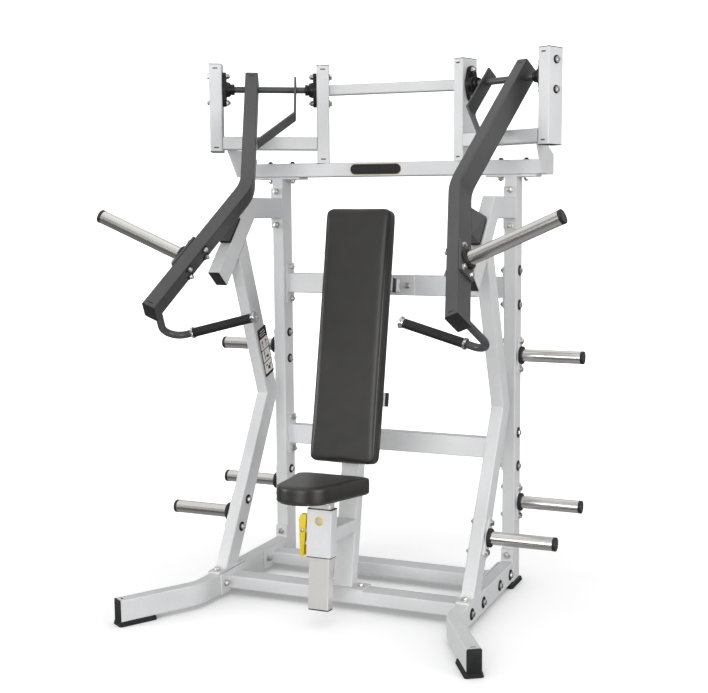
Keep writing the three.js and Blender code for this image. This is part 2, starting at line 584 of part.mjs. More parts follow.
function seatSleeve() {
  const { width, depth, bottom, top, wall, windowZ, window } = SLEEVE;
  const tube = extrude(hollowRect(width, depth, wall, 5), top - bottom).translate(0, 0, bottom);
  const barrelEnd = LEVER.innerX - 4;
  const barrel = extrude(circle(LOCK.barrel), -barrelEnd - width / 2 + wall / 2, 8).rotateY(-Math.PI / 2)
    .translate(-width / 2 + wall / 2, LEVER.y, LOCK.z);
  const lug = (y) => box(LEVER.x - 6, -width / 2 + wall / 2, y - 1.5, y + 1.5, LEVER.z - 7, LEVER.z + 7);
  const lugs = [-1, 1].map((s) => lug(LEVER.y + s * 7));
  const sight = extrude(circle(window), wall + 4, 10).rotateX(Math.PI / 2)
    .translate(0, -depth / 2 + wall + 2, windowZ);
  const pinHole = extrude(circle(LOCK.diameter + 2 * GAP), 60, 8).rotateY(-Math.PI / 2)
    .translate(-width / 2 + wall + 2, LEVER.y, LOCK.z);
  return cut(weld(tube, barrel, ...lugs), sight, pinHole, leverPivotHole());
}

// Nylon guide in one end of the sleeve, with a lip over the sleeve's edge.
function seatBushing(up) {
  const { width, depth, wall } = SLEEVE;
  const length = 22, lip = 3;
  const ring = (w, d, corner, height) => {
    const shape = roundedRect(w, d, corner);
    shape.holes.push(roundedRect(SEAT_POST.width + 2 * GAP, SEAT_POST.depth + 2 * GAP, 4));
    return extrude(shape, height);
  };
  const liner = ring(width - 2 * wall - 2 * GAP, depth - 2 * wall - 2 * GAP, 3, length + 1);
  const collar = ring(width - 1, depth - 1, 5, lip);
  if (up) return weld(liner.translate(0, 0, SLEEVE.top - length), collar.translate(0, 0, SLEEVE.top + GAP));
  return weld(liner.translate(0, 0, SLEEVE.bottom - 1), collar.translate(0, 0, SLEEVE.bottom - lip - GAP));
}

function seatBracket() {
  const { z } = SEAT_BRACKET;
  const tilt = rad(BACK.tilt), lean = rad(SEAT.tilt);
  const toPost = -(BACK.depth / 2 + GAP) - (SEAT.y + z * Math.sin(lean) - BACK.postY) * Math.cos(tilt)
    + (SEAT.z + z * Math.cos(lean) - BACK.postZ) * Math.sin(tilt);
  const end = toPost / Math.cos(tilt - lean);
  const path = [V(0, SLEEVE.depth / 2 + GAP, z), V(0, end, z)];
  return alongPath(hollowRect(SEAT_BRACKET.width, SEAT_BRACKET.height), path, V(1, 0, 0),
    { cuts: [V(0, 1, 0), V(0, Math.cos(tilt - lean), -Math.sin(tilt - lean))] });
}

function seatOutline() {
  const { rear, halfWidth, corner, noseY, nose } = SEAT_PAD;
  const kneeY = rear - corner;
  const reach = Math.hypot(halfWidth, kneeY - noseY);
  const turn = Math.atan2(kneeY - noseY, halfWidth) - Math.acos(nose / reach);
  const shape = new THREE.Shape().moveTo(corner - halfWidth, rear).lineTo(halfWidth - corner, rear);
  shape.absarc(halfWidth - corner, kneeY, corner, Math.PI / 2, 0, true);
  shape.absarc(0, noseY, nose, turn, -Math.PI - turn, true);
  shape.absarc(corner - halfWidth, kneeY, corner, Math.PI, Math.PI / 2, true);
  return shape;
}

function seatPost() {
  const { width, depth, wall, bottom, top } = SEAT_POST;
  const tube = extrude(hollowRect(width, depth, wall, 5), top - bottom + PLATE / 2).translate(0, 0, bottom);
  const plate = extrude(roundedRect(170, 200, 12), PLATE).translate(0, -30, top);
  return weld(tube, plate);
}

function seatLever() {
  const { outerX, innerX, bottom, top, width, sheet } = LEVER;
  const side = (dx, extra) => new THREE.Shape([
    [outerX + dx + 6, bottom - extra], [innerX + dx - 6, bottom - extra], [innerX + dx, top - 20],
    [innerX + dx, top + extra], [outerX + dx + 10, top + extra], [outerX + dx, top - 10],
  ].map(([x, z]) => new THREE.Vector2(x, z)));
  const solid = extrude(side(0, 0), width).rotateX(Math.PI / 2).translate(0, LEVER.y + width / 2, 0);
  const inside = extrude(side(sheet, 5), width - 2 * sheet).rotateX(Math.PI / 2)
    .translate(0, LEVER.y + width / 2 - sheet, 0);
  return cut(solid, inside, leverPivotHole());
}

function leverPivot() {
  const pin = extrude(circle(LEVER.pivot), LEVER.width + 8, 6).translate(0, 0, -LEVER.width / 2 - 4);
  const headZ = LEVER.width / 2 + 2 + GAP;
  const heads = [-1, 1].map((s) => extrude(circle(11), 4, 6).translate(0, 0, s * headZ - 2));
  return weld(pin, ...heads).rotateX(Math.PI / 2).translate(LEVER.x, LEVER.y, LEVER.z);
}

// Stops just short of the seat post, so the post slides past it at every height.
function lockPin() {
  const tip = -SEAT_POST.width / 2 - GAP, headX = LEVER.outerX + LEVER.sheet + 5;
  const pin = extrude(circle(LOCK.diameter), tip - headX, 8);
  const head = extrude(circle(LOCK.head), 4, 8);
  return weld(pin, head).rotateY(Math.PI / 2).translate(headX, LEVER.y, LOCK.z);
}

addMesh(seat, 'seat_sleeve', seatSleeve(), whitePaint);
addMesh(seat, 'seat_bushing_top', seatBushing(true), nylon);
addMesh(seat, 'seat_bushing_bottom', seatBushing(false), nylon);
addMesh(seat, 'seat_bracket', seatBracket(), whitePaint);
addMesh(seat, 'seat_post', seatPost(), satinChrome);
const seatCushion = extrude(seatOutline(), SEAT_PAD.thickness, 7).translate(0, 0, SEAT_PAD.bottom);
addMesh(seat, 'seat_pad', seatCushion, leatherette);
addMesh(seat, 'seat_lever', seatLever(), yellowPaint);
addMesh(seat, 'lever_pivot', leverPivot(), steel);
addMesh(seat, 'lock_pin', lockPin(), steel);

// The origin is the middle of the footprint, on the floor.
machine.updateMatrixWorld(true);
const middle = new THREE.Box3().setFromObject(machine, true).getCenter(V());
machine.position.set(-middle.x, -middle.y, 0);
machine.updateMatrixWorld(true);

export default machine;
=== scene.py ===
"""Looks of the plate-loaded chest press machine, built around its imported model.

Sizes are in millimetres, frames in metres. +Z is up and the user faces -Y.
Side +1 is the right_ nodes (+X), side -1 the left_ ones.
"""
import json
import math

import bmesh
import bpy
from mathutils import Matrix, Vector, geometry
from mathutils.bvhtree import BVHTree


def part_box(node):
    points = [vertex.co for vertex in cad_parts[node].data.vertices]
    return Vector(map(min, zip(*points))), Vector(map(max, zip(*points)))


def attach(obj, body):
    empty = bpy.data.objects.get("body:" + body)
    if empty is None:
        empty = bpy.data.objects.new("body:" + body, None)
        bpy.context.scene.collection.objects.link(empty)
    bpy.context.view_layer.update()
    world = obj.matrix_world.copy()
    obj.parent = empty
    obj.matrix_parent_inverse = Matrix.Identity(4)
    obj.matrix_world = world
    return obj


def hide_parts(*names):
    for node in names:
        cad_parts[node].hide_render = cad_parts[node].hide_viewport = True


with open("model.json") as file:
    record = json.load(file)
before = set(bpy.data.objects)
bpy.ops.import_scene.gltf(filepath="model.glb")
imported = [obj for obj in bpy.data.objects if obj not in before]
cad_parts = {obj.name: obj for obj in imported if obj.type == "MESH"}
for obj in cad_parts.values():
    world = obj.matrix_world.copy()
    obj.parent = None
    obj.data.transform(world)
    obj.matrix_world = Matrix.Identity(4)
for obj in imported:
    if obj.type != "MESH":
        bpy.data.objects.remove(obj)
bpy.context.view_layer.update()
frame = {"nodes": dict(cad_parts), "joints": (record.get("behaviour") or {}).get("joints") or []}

# --- dimensions

MM = 0.001
SIDES = {"right": 1, "left": -1}
WALL = 3
TUBE = (50, 80)            # narrow and wide side of the frame tube
HALF = (25, 40)

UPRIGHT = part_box("upright_right")
SIDE_X = (UPRIGHT[0].x + UPRIGHT[1].x) / 2 / MM
FACE_Y = UPRIGHT[0].y / MM           # front face of the uprights
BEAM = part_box("crossbeam")
BEAM_Z0 = BEAM[0].z / MM
BEAM_Z1 = BEAM_Z0 + 55

ARM_LEAN, ARM_SPLAY = math.radians(38.23), math.radians(30.38)
ARM_UPPER, ARM_LOWER, ARM_TOP = 512, 630, 53
POSTS = {"outer": (114.4, -244), "inner": (-307.1, -288)}   # near face, foot
POST_TOP = 94
POST_Y = -0.35                  # middle of the posts, from the shaft
BEARING_BOLT = 52

STOP_LEAN, LEG_LEAN = math.radians(40.9), math.radians(29)
STOP_TIP = (-477.3, 1200.8)
TIE_Z = 1464
LEG_KINK = (-109.1, 724.2)
STOP_RUN = Vector((0, -math.sin(STOP_LEAN), -math.cos(STOP_LEAN)))   # down the stop arm's tip
STOP_OFF = Vector((0, -math.cos(STOP_LEAN), math.sin(STOP_LEAN)))    # out of its upper face
FLOOR_PAD = 14
FLANGE = 8.3                    # welded plate and its gap
INNER_PLATE = SIDE_X - HALF[0] - FLANGE
CAP_SLOT = 14                   # from a tube's end to the middle of its slot
WIDE_WASHER = 21
RAIL_TOP = 94
TOE = math.radians(31.8)
TOE_TIP = (659, -915)
CROSS_Y = (-452, -117)
BAR_Z = (1160, 530)
BAR_Y = 45
HORN_LENGTH, ARM_HORN_LENGTH, ARM_HORN_ALONG = 258, 367, 373
HORN_Z = {"upper": 900, "lower": 323, "front": 284}
HORN_BOLT = 54.5

BACK_TILT = math.radians(10.5)
BACK_FOOT = (-442, 78)
PAD = {"width": 262, "length": 937, "thickness": 66, "corner": 26}
PAD_BOTTOM = (-475, 542)
BRACKET_Z = (665, 1092)
SLEEVE_FRONT, WINDOW_Z = -26, 44     # from the middle of the sleeve
SEAT_POST_BOTTOM = -270
SEAT_PAD = {"bottom": 132.5, "thickness": 60, "rear": 109.5, "half": 144,
            "corner": 30, "nose_y": -134, "nose": 100}
LEVER = {"x": -71, "z": 4, "outer": -85, "inner": -57, "bottom": -89, "top": 61}

# --- frames

MIRROR = Matrix.Diagonal((-1, 1, 1, 1))
JOINTS = {joint["name"]: joint for joint in frame["joints"]}
UP, FORWARD = Vector((0, 0, 1)), Vector((0, -1, 0))


def axes(origin, x, y, z):
    matrix = Matrix((x, y, z)).transposed().to_4x4()
    matrix.translation = origin
    return matrix


def facing(origin, out, up=UP):
    """A frame whose z runs along out and whose y leans towards up."""
    z = Vector(out).normalized()
    if abs(z.dot(up)) > 0.99:
        up = FORWARD
    x = Vector(up).cross(z).normalized()
    return axes(origin, x, z.cross(x), z)


def metres(point):
    return Vector([value * MM for value in point])


def side_point(s, x, y, z):
    """x is measured from the middle plane outward, y from the uprights' front face."""
    return metres((s * x, FACE_Y + y, z))


def pivot_frame(s):
    """Origin on the press arm's shaft, x outward along it, y to the rear, z up."""
    joint = JOINTS["right_arm_press"]
    out = -Vector(joint["axis"])
    matrix = axes(Vector(joint["pos_m"]), out, Vector((-out.y, out.x, 0)), UP)
    return matrix if s > 0 else MIRROR @ matrix


def arm_frame(s):
    """As pivot_frame, with -z down the upper arm."""
    return pivot_frame(s) @ Matrix.Rotation(-ARM_LEAN, 4, "X")


def back_frame():
    """z up the back post."""
    return Matrix.Translation(side_point(1, 0, *BACK_FOOT)) @ Matrix.Rotation(-BACK_TILT, 4, "X")


def seat_frame():
    """Origin in the middle of the sleeve, z up the seat post."""
    z = Vector(JOINTS["seat_height"]["axis"])
    x = Vector((1, 0, 0))
    pivot = Vector(JOINTS["seat_lever_pull"]["pos_m"])
    return axes(pivot - (x * LEVER["x"] + z * LEVER["z"]) * MM, x, z.cross(x), z)


BACK, SEAT = back_frame(), seat_frame()
LOWER_DOWN = Vector((math.sin(ARM_SPLAY), 0, -math.cos(ARM_SPLAY)))
LOWER_OUT = Vector((math.cos(ARM_SPLAY), 0, math.sin(ARM_SPLAY)))


def on_lower(along, out, y):
    """A point on the splayed lower arm, in the arm's frame."""
    return Vector((0, y, -ARM_UPPER)) + LOWER_DOWN * along + LOWER_OUT * out


def moved(matrix, point, direction, up=UP):
    """A local point and direction of matrix as a right-handed frame in the world."""
    turn = matrix.to_3x3()
    return facing(matrix @ metres(point), turn @ Vector(direction), turn @ Vector(up))


def local(matrix, x, y, z):
    return matrix @ Matrix.Translation(metres((x, y, z)))


# --- materials


def srgb(code, alpha=1.0):
    """Linear colour of a hex code."""
    parts = [int(code[i:i + 2], 16) / 255 for i in (1, 3, 5)]
    return [p / 12.92 if p <= 0.04045 else ((p + 0.055) / 1.055) ** 2.4 for p in parts] + [alpha]


def ramp(tree, value, stops):
    """Colour that runs through (place, colour) stops as value goes from 0 to 1."""
    node = tree.nodes.new("ShaderNodeValToRGB")
    elements = node.color_ramp.elements
    while len(elements) < len(stops):
        elements.new(0.5)
    for element, (place, color) in zip(elements, stops):
        element.position = place
        element.color = color
    tree.links.new(value, node.inputs["Fac"])
    return node.outputs["Color"]


class Finish:
    """A material whose colour, roughness and relief vary in the object's own space."""

    def __init__(self, name, metallic=0.0, **sockets):
        self.material = bpy.data.materials.new(name)
        self.material.use_nodes = True
        self.tree = self.material.node_tree
        self.shader = self.tree.nodes["Principled BSDF"]
        self.shader.inputs["Metallic"].default_value = metallic
        for socket, value in sockets.items():
            self.shader.inputs[socket.replace("_", " ")].default_value = value
        self.space = self.node("ShaderNodeTexCoord").outputs["Object"]
        self.normal = None

    def node(self, kind, **values):
        node = self.tree.nodes.new(kind)
        for socket, value in values.items():
            node.inputs[socket.replace("_", " ")].default_value = value
        return node

    def link(self, source, target):
        self.tree.links.new(source, target)
        return self

    def stretched(self, x, y, z):
        """The object's space scaled along its axes, for streaks and rings."""
        node = self.node("ShaderNodeMapping", Scale=(x, y, z))
        self.link(self.space, node.inputs["Vector"])
        return node.outputs["Vector"]

    def noise(self, scale, detail=2.0, space=None, roughness=0.5):
        node = self.node("ShaderNodeTexNoise", Scale=scale, Detail=detail, Roughness=roughness)
        self.link(space or self.space, node.inputs["Vector"])
        return node.outputs[0]

    def cells(self, scale, feature="F1", space=None):
        node = self.node("ShaderNodeTexVoronoi", Scale=scale)
        node.feature = feature
        self.link(space or self.space, node.inputs["Vector"])
        return node.outputs["Distance"]

    def between(self, value, low, high, start=0.0, end=1.0):
        node = self.node("ShaderNodeMapRange", From_Min=start, From_Max=end, To_Min=low, To_Max=high)
        self.link(value, node.inputs["Value"])
        return node.outputs["Result"]

    def blend(self, value, *stops):
        return ramp(self.tree, value, [(place, srgb(code)) for place, code in stops])

    def color(self, source):
        return self.link(source, self.shader.inputs["Base Color"])

    def rough(self, source, low, high):
        return self.link(self.between(source, low, high), self.shader.inputs["Roughness"])

    def relief(self, height, depth, strength=1.0):
        """Adds a bump over the ones before it."""
        node = self.node("ShaderNodeBump", Strength=strength, Distance=depth * MM)
        self.link(height, node.inputs["Height"])
        if self.normal:
            self.link(self.normal, node.inputs["Normal"])
        self.normal = node.outputs["Normal"]
        return self.link(self.normal, self.shader.inputs["Normal"])


def powder_coat(name, light, dark, metallic, rough, peel):
    """Sprayed and baked paint: an even colour, fine orange peel and faint clouding."""
    finish = Finish(name, metallic, Coat_Weight=0.04, Coat_Roughness=0.35)
    cloud = finish.node("ShaderNodeMath")
    cloud.operation = "ADD"
    finish.link(finish.between(finish.noise(5, 3), 0.0, 0.5), cloud.inputs[0])
    finish.link(finish.between(finish.noise(380, 2), 0.0, 0.5), cloud.inputs[1])
    finish.color(finish.blend(cloud.outputs[0], (0.35, dark), (0.65, light)))
    finish.rough(finish.noise(60, 4), rough - 0.06, rough + 0.08)
    finish.relief(finish.noise(650, 2), peel)
    finish.relief(finish.noise(2400, 1), peel * 0.25)
    return finish.material


def turned_metal(name, light, dark, rough):
    """Bright metal with rings about the object's own z axis."""
    finish = Finish(name, 1.0)
    rings = finish.noise(1, 2, finish.stretched(4, 4, 120))
    finish.color(finish.blend(finish.noise(9, 2), (0.25, dark), (0.75, light)))
    finish.rough(rings, rough - 0.01, rough + 0.01)
    return finish.material


def brushed(name, light, dark, rough, metallic):
    """Satin plating with long fine streaks up the tube."""
    finish = Finish(name, metallic)
    streaks = finish.noise(1, 3, finish.stretched(700, 700, 5))
    finish.color(finish.blend(streaks, (0.3, dark), (0.7, light)))
    finish.rough(streaks, rough - 0.05, rough + 0.05)
    finish.relief(streaks, 0.002)
    return finish.material


def plain_metal(name, light, dark, rough, depth=0.05):
    finish = Finish(name, 1.0)
    blotch = finish.noise(160, 4)
    finish.color(finish.blend(blotch, (0.3, dark), (0.7, light)))
    finish.rough(blotch, rough - 0.08, rough + 0.12)
    finish.relief(finish.noise(900, 2), depth)
    return finish.material


def moulded(name, light, dark, rough, grain, depth, metallic=0.0):
    """Moulded plastic or rubber with a fine spark-eroded grain."""
    finish = Finish(name, metallic)
    finish.color(finish.blend(finish.noise(45, 4), (0.3, dark), (0.7, light)))
    finish.rough(finish.noise(120, 3), rough - 0.08, rough + 0.08)
    finish.relief(finish.noise(grain, 2), depth)
    return finish.material


def leatherette():
    """Embossed vinyl cover: pebble grain, pores and slightly polished tops."""
    finish = Finish("leatherette", 0.0, Sheen_Weight=0.03, Sheen_Roughness=0.4)
    warped = finish.node("ShaderNodeVectorMath")
    wander = finish.node("ShaderNodeTexNoise", Scale=220.0, Detail=2.0)
    finish.link(finish.space, wander.inputs["Vector"])
    shrink = finish.node("ShaderNodeVectorMath")
    shrink.operation = "SCALE"
    shrink.inputs["Scale"].default_value = 1.6 * MM
    finish.link(wander.outputs["Color"], shrink.inputs[0])
    finish.link(finish.space, warped.inputs[0]).link(shrink.outputs[0], warped.inputs[1])
    pebbles = finish.cells(620, space=warped.outputs[0])
    creases = finish.cells(240, "DISTANCE_TO_EDGE", warped.outputs[0])
    finish.color(finish.blend(finish.noise(14, 4), (0.25, "#211f1e"), (0.75, "#272624")))
    finish.rough(pebbles, 0.3, 0.44)
    finish.relief(creases, 0.16, 0.7)
    finish.relief(pebbles, -0.14, 0.8)
    return finish.material


def woven(name, light, dark):
    """Tight weave for thread, cord and binding."""
    finish = Finish(name, 0.0, Sheen_Weight=0.1)
    threads = finish.cells(1500)
    finish.color(finish.blend(threads, (0.2, light), (0.8, dark)))
    finish.rough(threads, 0.6, 0.8)
    finish.relief(threads, 0.15)
    return finish.material


MATERIALS = {
    "white": powder_coat("white_powder_coat", "#dfdfe0", "#d0d1d2", 0.05, 0.48, 0.05),
    "grey": powder_coat("grey_powder_coat", "#535354", "#464647", 0.2, 0.4, 0.09),
    "chrome": turned_metal("turned_chrome", "#d6d4d0", "#d1cfcb", 0.22),
    "satin": brushed("satin_chrome", "#eceae7", "#e4e2df", 0.3, 0.45),
    "zinc": plain_metal("zinc_steel", "#dcdad5", "#b4b1ab", 0.3),
    "aluminium": turned_metal("turned_aluminium", "#d7d8d9", "#bfc0c2", 0.24),
    "iron": moulded("black_iron", "#262628", "#19191a", 0.42, 700, 0.12, 0.5),
    "washer": moulded("blackened_steel", "#1c1c1d", "#131314", 0.5, 1100, 0.03, 0.2),
    "plastic": moulded("black_plastic", "#19191a", "#131314", 0.5, 1600, 0.05),
    "cap_face": moulded("grey_plastic", "#3a3a3b", "#323233", 0.55, 1600, 0.05),
    "rubber": moulded("black_rubber", "#1b1b1b", "#121212", 0.66, 900, 0.1),
    "nylon": moulded("black_nylon", "#29292a", "#1f1f20", 0.55, 1400, 0.04),
    "leather": leatherette(),
    "thread": woven("thread", "#4a4947", "#2a2a29"),
    "yellow": powder_coat("yellow_paint", "#ecd126", "#e2c61c", 0.05, 0.38, 0.04),
    "gold": plain_metal("gold_rim", "#a98a2c", "#8d701c", 0.34, 0.02),
    "board": moulded("pressed_board", "#3a3632", "#2b2825", 0.75, 500, 0.2),
    "label": moulded("label_film", "#f4f4f2", "#ecece9", 0.35, 1800, 0.01),
    "red": moulded("label_red", "#c8342c", "#b82c25", 0.4, 1800, 0.01),
    # dark: real black on the badge and the placard, painted shade in the cap slots
    "dark": moulded("black_and_painted_recess_shade", "#1a1a1a", "#111111", 0.7, 900, 0.05),
}

# --- shapes

SHARP = math.radians(38)             # edges that turn less are shaded smooth


def finished(mesh, name, materials):
    """The mesh under construction as mesh data with these materials."""
    data = bpy.data.meshes.new(name)
    mesh.to_mesh(data)
    mesh.free()
    for material in materials:
        data.materials.append(material)
    return data


def placed(name, data):
    """A new object of the scene."""
    node = bpy.data.objects.new(name, data)
    bpy.context.scene.collection.objects.link(node)
    return node


class Shape:
    """A mesh under construction. Parts are closed shells, added in any frame."""

    def __init__(self):
        self.mesh = bmesh.new()
        self.materials = []

    def number(self, material):
        if material not in self.materials:
            self.materials.append(material)
        return self.materials.index(material)

    def ring(self, points, matrix):
        return [self.mesh.verts.new(matrix @ metres(point)) for point in points]

    def bridge(self, lower, upper, number):
        count = max(len(lower), len(upper))
        for k in range(count):
            j = (k + 1) % count
            corners = [lower[i % len(lower)] for i in (k, j)] + [upper[i % len(upper)] for i in (j, k)]
            face = self.mesh.faces.new(list(dict.fromkeys(corners)))
            face.material_index = number

    def lathe(self, profile, matrix, material, segments=32, closed=False):
        """A solid of revolution about z through (radius, z) points, closed on the axis or on itself."""
        number = self.number(material)
        rings = []
        for radius, z in profile:
            steps = segments if radius > 1e-7 else 1
            turn = 2 * math.pi / steps
            points = [(radius * math.cos(k * turn), radius * math.sin(k * turn), z) for k in range(steps)]
            rings.append(self.ring(points, matrix))
        pairs = list(zip(rings, rings[1:])) + ([(rings[-1], rings[0])] if closed else [])
        for lower, upper in pairs:
            self.bridge(lower, upper, number)
        return self

    def prism(self, outline, z0, z1, matrix, material, bevel=0.0, steps=2, rim_only=False):
        """An outline raised from z0 to z1, with rounded edges."""
        number = self.number(material)
        lower = self.ring([(x, y, z0) for x, y in outline], matrix)
        upper = self.ring([(x, y, z1) for x, y in outline], matrix)
        self.bridge(lower, upper, number)
        ends = [self.mesh.faces.new(lower[::-1]), self.mesh.faces.new(upper)]
        for face in ends:
            face.material_index = number
        if bevel:
            edges = {edge for face in ends[1 if rim_only else 0:] for edge in face.edges}
            if not rim_only:
                edges |= {edge for vertex in lower for edge in vertex.link_edges}
            bmesh.ops.bevel(self.mesh, geom=sorted(edges, key=lambda e: e.index), offset=bevel * MM,
                            segments=steps, profile=0.5, affect="EDGES", clamp_overlap=True)
        return self

    def sweep(self, path, radius, material, sides=8, closed=False, matrix=Matrix()):
        """A round rod along a path; radius is a number or a function of the share of the way."""
        number = self.number(material)
        points = [matrix @ metres(point) for point in path]
        count = len(points)
        rings, normal = [], None
        for i, point in enumerate(points):
            ahead = points[(i + 1) % count] if closed or i < count - 1 else point
            back = points[i - 1] if closed or i else point
            run = (ahead - back).normalized()
            if normal is None:
                normal = run.orthogonal().normalized()
            normal = (normal - run * normal.dot(run)).normalized()
            side = run.cross(normal)
            size = (radius(i / (count - 1)) if callable(radius) else radius) * MM
            turn = 2 * math.pi / sides
            spokes = [normal * math.cos(k * turn) + side * math.sin(k * turn) for k in range(sides)]
            rings.append([self.mesh.verts.new(point + spoke * size) for spoke in spokes])
        for lower, upper in zip(rings, rings[1:]):
            self.bridge(lower, upper, number)
        if closed:
            self.close_loop(rings[-1], rings[0], number)
        else:
            for cap in (rings[0][::-1], rings[-1]):
                self.mesh.faces.new(cap).material_index = number
        return self

    def close_loop(self, last, first, number):
        """Joins two rings after turning the second to meet the first with least twist."""
        offsets = range(len(first))
        best = min(offsets, key=lambda shift: (last[0].co - first[shift].co).length)
        self.bridge(last, first[best:] + first[:best], number)

    def end(self, name):
        """Ends the mesh as an object."""
        return placed(name, finished(self.mesh, name, [MATERIALS[key] for key in self.materials]))

    def make(self, name, body, slot, matrix=None, replaces=()):
        """Ends the mesh as a piece that rides on a body. matrix places a mesh built in its own frame."""
        bmesh.ops.recalc_face_normals(self.mesh, faces=self.mesh.faces[:])
        for face in self.mesh.faces:
            face.smooth = True
        for edge in self.mesh.edges:
            edge.smooth = len(edge.link_faces) == 2 and edge.calc_face_angle(0.0) < SHARP
        piece = self.end(name)
        if matrix is not None:
            piece.matrix_world = matrix
        return settle(piece, body, replaces)


def turned_piece(profile, material, segments, name, body, slot, spot, replaces=(), closed=False):
    """A piece turned in its own frame, so that its finish runs round its axis."""
    Shape().lathe(profile, Matrix(), material, segments, closed).make(name, body, slot, spot, replaces)


def settle(piece, body, replaces=()):
    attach(piece, body)
    if replaces:
        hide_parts(*replaces)
    return piece


def arc(x, y, radius, start, end, steps):
    turn = (end - start) / steps
    angles = [math.radians(start + turn * k) for k in range(steps + 1)]
    return [(x + radius * math.cos(angle), y + radius * math.sin(angle)) for angle in angles]


def rounded(width, height, radius, steps=5):
    x, y = width / 2 - radius, height / 2 - radius
    return (arc(x, -y, radius, -90, 0, steps) + arc(x, y, radius, 0, 90, steps)
            + arc(-x, y, radius, 90, 180, steps) + arc(-x, -y, radius, 180, 270, steps))


def hexagon(across):
    return arc(0, 0, across / math.sqrt(3), 0, 300, 5)


def fillet(points, radius, steps=10):
    """Replaces each inner corner of a line of points by an arc."""
    out = [points[0]]
    for before, corner, after in zip(points, points[1:], points[2:]):
        a, b = (before - corner).normalized(), (after - corner).normalized()
        half = a.angle(b) / 2
        centre = corner + (a + b).normalized() * (radius / math.sin(half))
        start = corner + a * (radius / math.tan(half)) - centre
        axis = -a.cross(b).normalized()
        for k in range(steps + 1):
            turn = Matrix.Rotation((math.pi - 2 * half) * k / steps, 3, axis)
            out.append(centre + turn @ start)
    return out + [points[-1]]


# --- fasteners


class Fasteners:
    """Bolt heads, nuts and washers of one body, gathered in two pieces."""

    def __init__(self):
        self.heads, self.washers = Shape(), Shape()
        self.count = 0

    def turned(self, spot):
        """Each head stops at an angle of its own."""
        self.count += 1
        return spot @ Matrix.Rotation(math.radians(self.count * 37 % 60), 4, "Z")

    def washer(self, spot, size, thickness=2.4, bright=False):
        bore, edge = 6, 0.5
        profile = [(bore, 0), (size - edge, 0), (size, edge), (size, thickness - edge)]
        profile += [(size - edge, thickness), (bore, thickness)]
        if bright:
            self.heads.lathe(profile, spot, "zinc", 28, closed=True)
        else:
            self.washers.lathe(profile, spot, "washer", 32, closed=True)

    def bolt(self, spot, across=18.5, height=8.5, washer=13, bright=True):
        spot = self.turned(spot)
        self.washer(spot, washer, bright=bright)
        head = local(spot, 0, 0, 2.2)
        self.heads.prism(hexagon(across), 0, height, head, "zinc", 1.0, 2, rim_only=True)
        rim = across * 0.44
        top = height + 0.35
        self.heads.lathe([(0, height - 1), (rim, height - 1), (rim, height), (rim - 1, top), (0, top)],
                         head, "zinc", 24)

    def nut(self, spot, across=18.5, height=9.5, washer=13, stud=4.5, bright=True):
        spot = self.turned(spot)
        self.washer(spot, washer, bright=bright)
        base = local(spot, 0, 0, 2.2)
        self.heads.prism(hexagon(across), 0, height, base, "zinc", 0.9, 2, rim_only=True)
        tip, core = height + stud, 5.8
        pitch = 1.25
        thread = [(0, height - 1), (core, height - 1)]
        for k in range(int(stud / pitch)):
            thread += [(core, height + k * pitch), (core - 0.6, height + (k + 0.5) * pitch)]
        thread += [(core - 1, tip), (0, tip)]
        self.heads.lathe(thread, base, "zinc", 20)

    def domed(self, spot, washer=17):
        """Low domed head over a wide thin washer, all black."""
        self.washer(spot, washer, 1.8)
        profile = [(0, 1.5), (9, 1.5), (9, 4)]
        for angle in (math.radians(degrees) for degrees in (25, 45, 65)):
            profile.append((9 * math.cos(angle), 4 + 5.5 * math.sin(angle)))
        profile += [(3.2, 9.5), (3.2, 7), (0, 7)]
        self.washers.lathe(profile, spot, "washer", 24)

    def make(self, prefix, body):
        self.heads.make(f"{prefix}_bolts", body, "zinc_steel")
        if self.washers.materials:
            self.washers.make(f"{prefix}_washers", body, "black_iron")


BEAD_STEP = 4.01


def weld(shape, matrix, width, height, size=2.6, corner=6):
    """A rippled weld bead round a tube, where it meets the plane of matrix."""
    ring = rounded(width, height, corner, 3)
    path = []
    for start, end in zip(ring, ring[1:] + ring[:1]):
        a, b = Vector((*start, 0)), Vector((*end, 0))
        pieces = max(1, round((b - a).length / BEAD_STEP))
        path += [a.lerp(b, k / pieces) for k in range(pieces)]
    ripple = [size * (0.86 + 0.16 * math.sin(2.4 * i)) for i in range(len(path))]
    last = len(path) - 1
    shape.sweep(path, lambda share: ripple[min(last, round(share * last))], "white", 6, True, matrix)


# --- frame finishing


def modify(node, name, kind, **settings):
    modifier = node.modifiers.new(name, kind)
    for key, value in settings.items():
        setattr(modifier, key, value)
    return modifier


def soften(node, width):
    """Rounds the folded edges of a packed tube without touching its mesh."""
    modify(node, "merge", "WELD", merge_threshold=0.02 * MM)
    modify(node, "flat", "DECIMATE", decimate_type="DISSOLVE", angle_limit=math.radians(0.6))
    modify(node, "bevel", "BEVEL", width=width, segments=3, limit_method="ANGLE",
           angle_limit=math.radians(24), use_clamp_overlap=True)
    modify(node, "shade", "WEIGHTED_NORMAL", weight=80, keep_sharp=False)


CAD_FINISH = {
    "white": ["base_rail_*", "upright_*", "front_leg_*", "stop_arm_*", "outer_post_*", "inner_post_*",
              "bearing_bar_*", "crossbeam", "upper_tie", "front_cross_tube", "rear_cross_tube",
              "upper_crossbar", "lower_crossbar", "back_post", "post_link", "seat_bracket", "seat_sleeve"],
    "grey": ["press_arm_*", "arm_stay_*"],
    "satin": ["seat_post"],
    "nylon": ["seat_bushing_top", "seat_bushing_bottom"],
}


def finish_cad_nodes():
    for material, patterns in CAD_FINISH.items():
        names = [p.replace("*", side) for p in patterns for side in (SIDES if "*" in p else ("",))]
        for name in names:
            node = frame["nodes"][name]
            node.data.materials.clear()
            node.data.materials.append(MATERIALS[material])
            soften(node, 1.6 * MM)


# --- horns


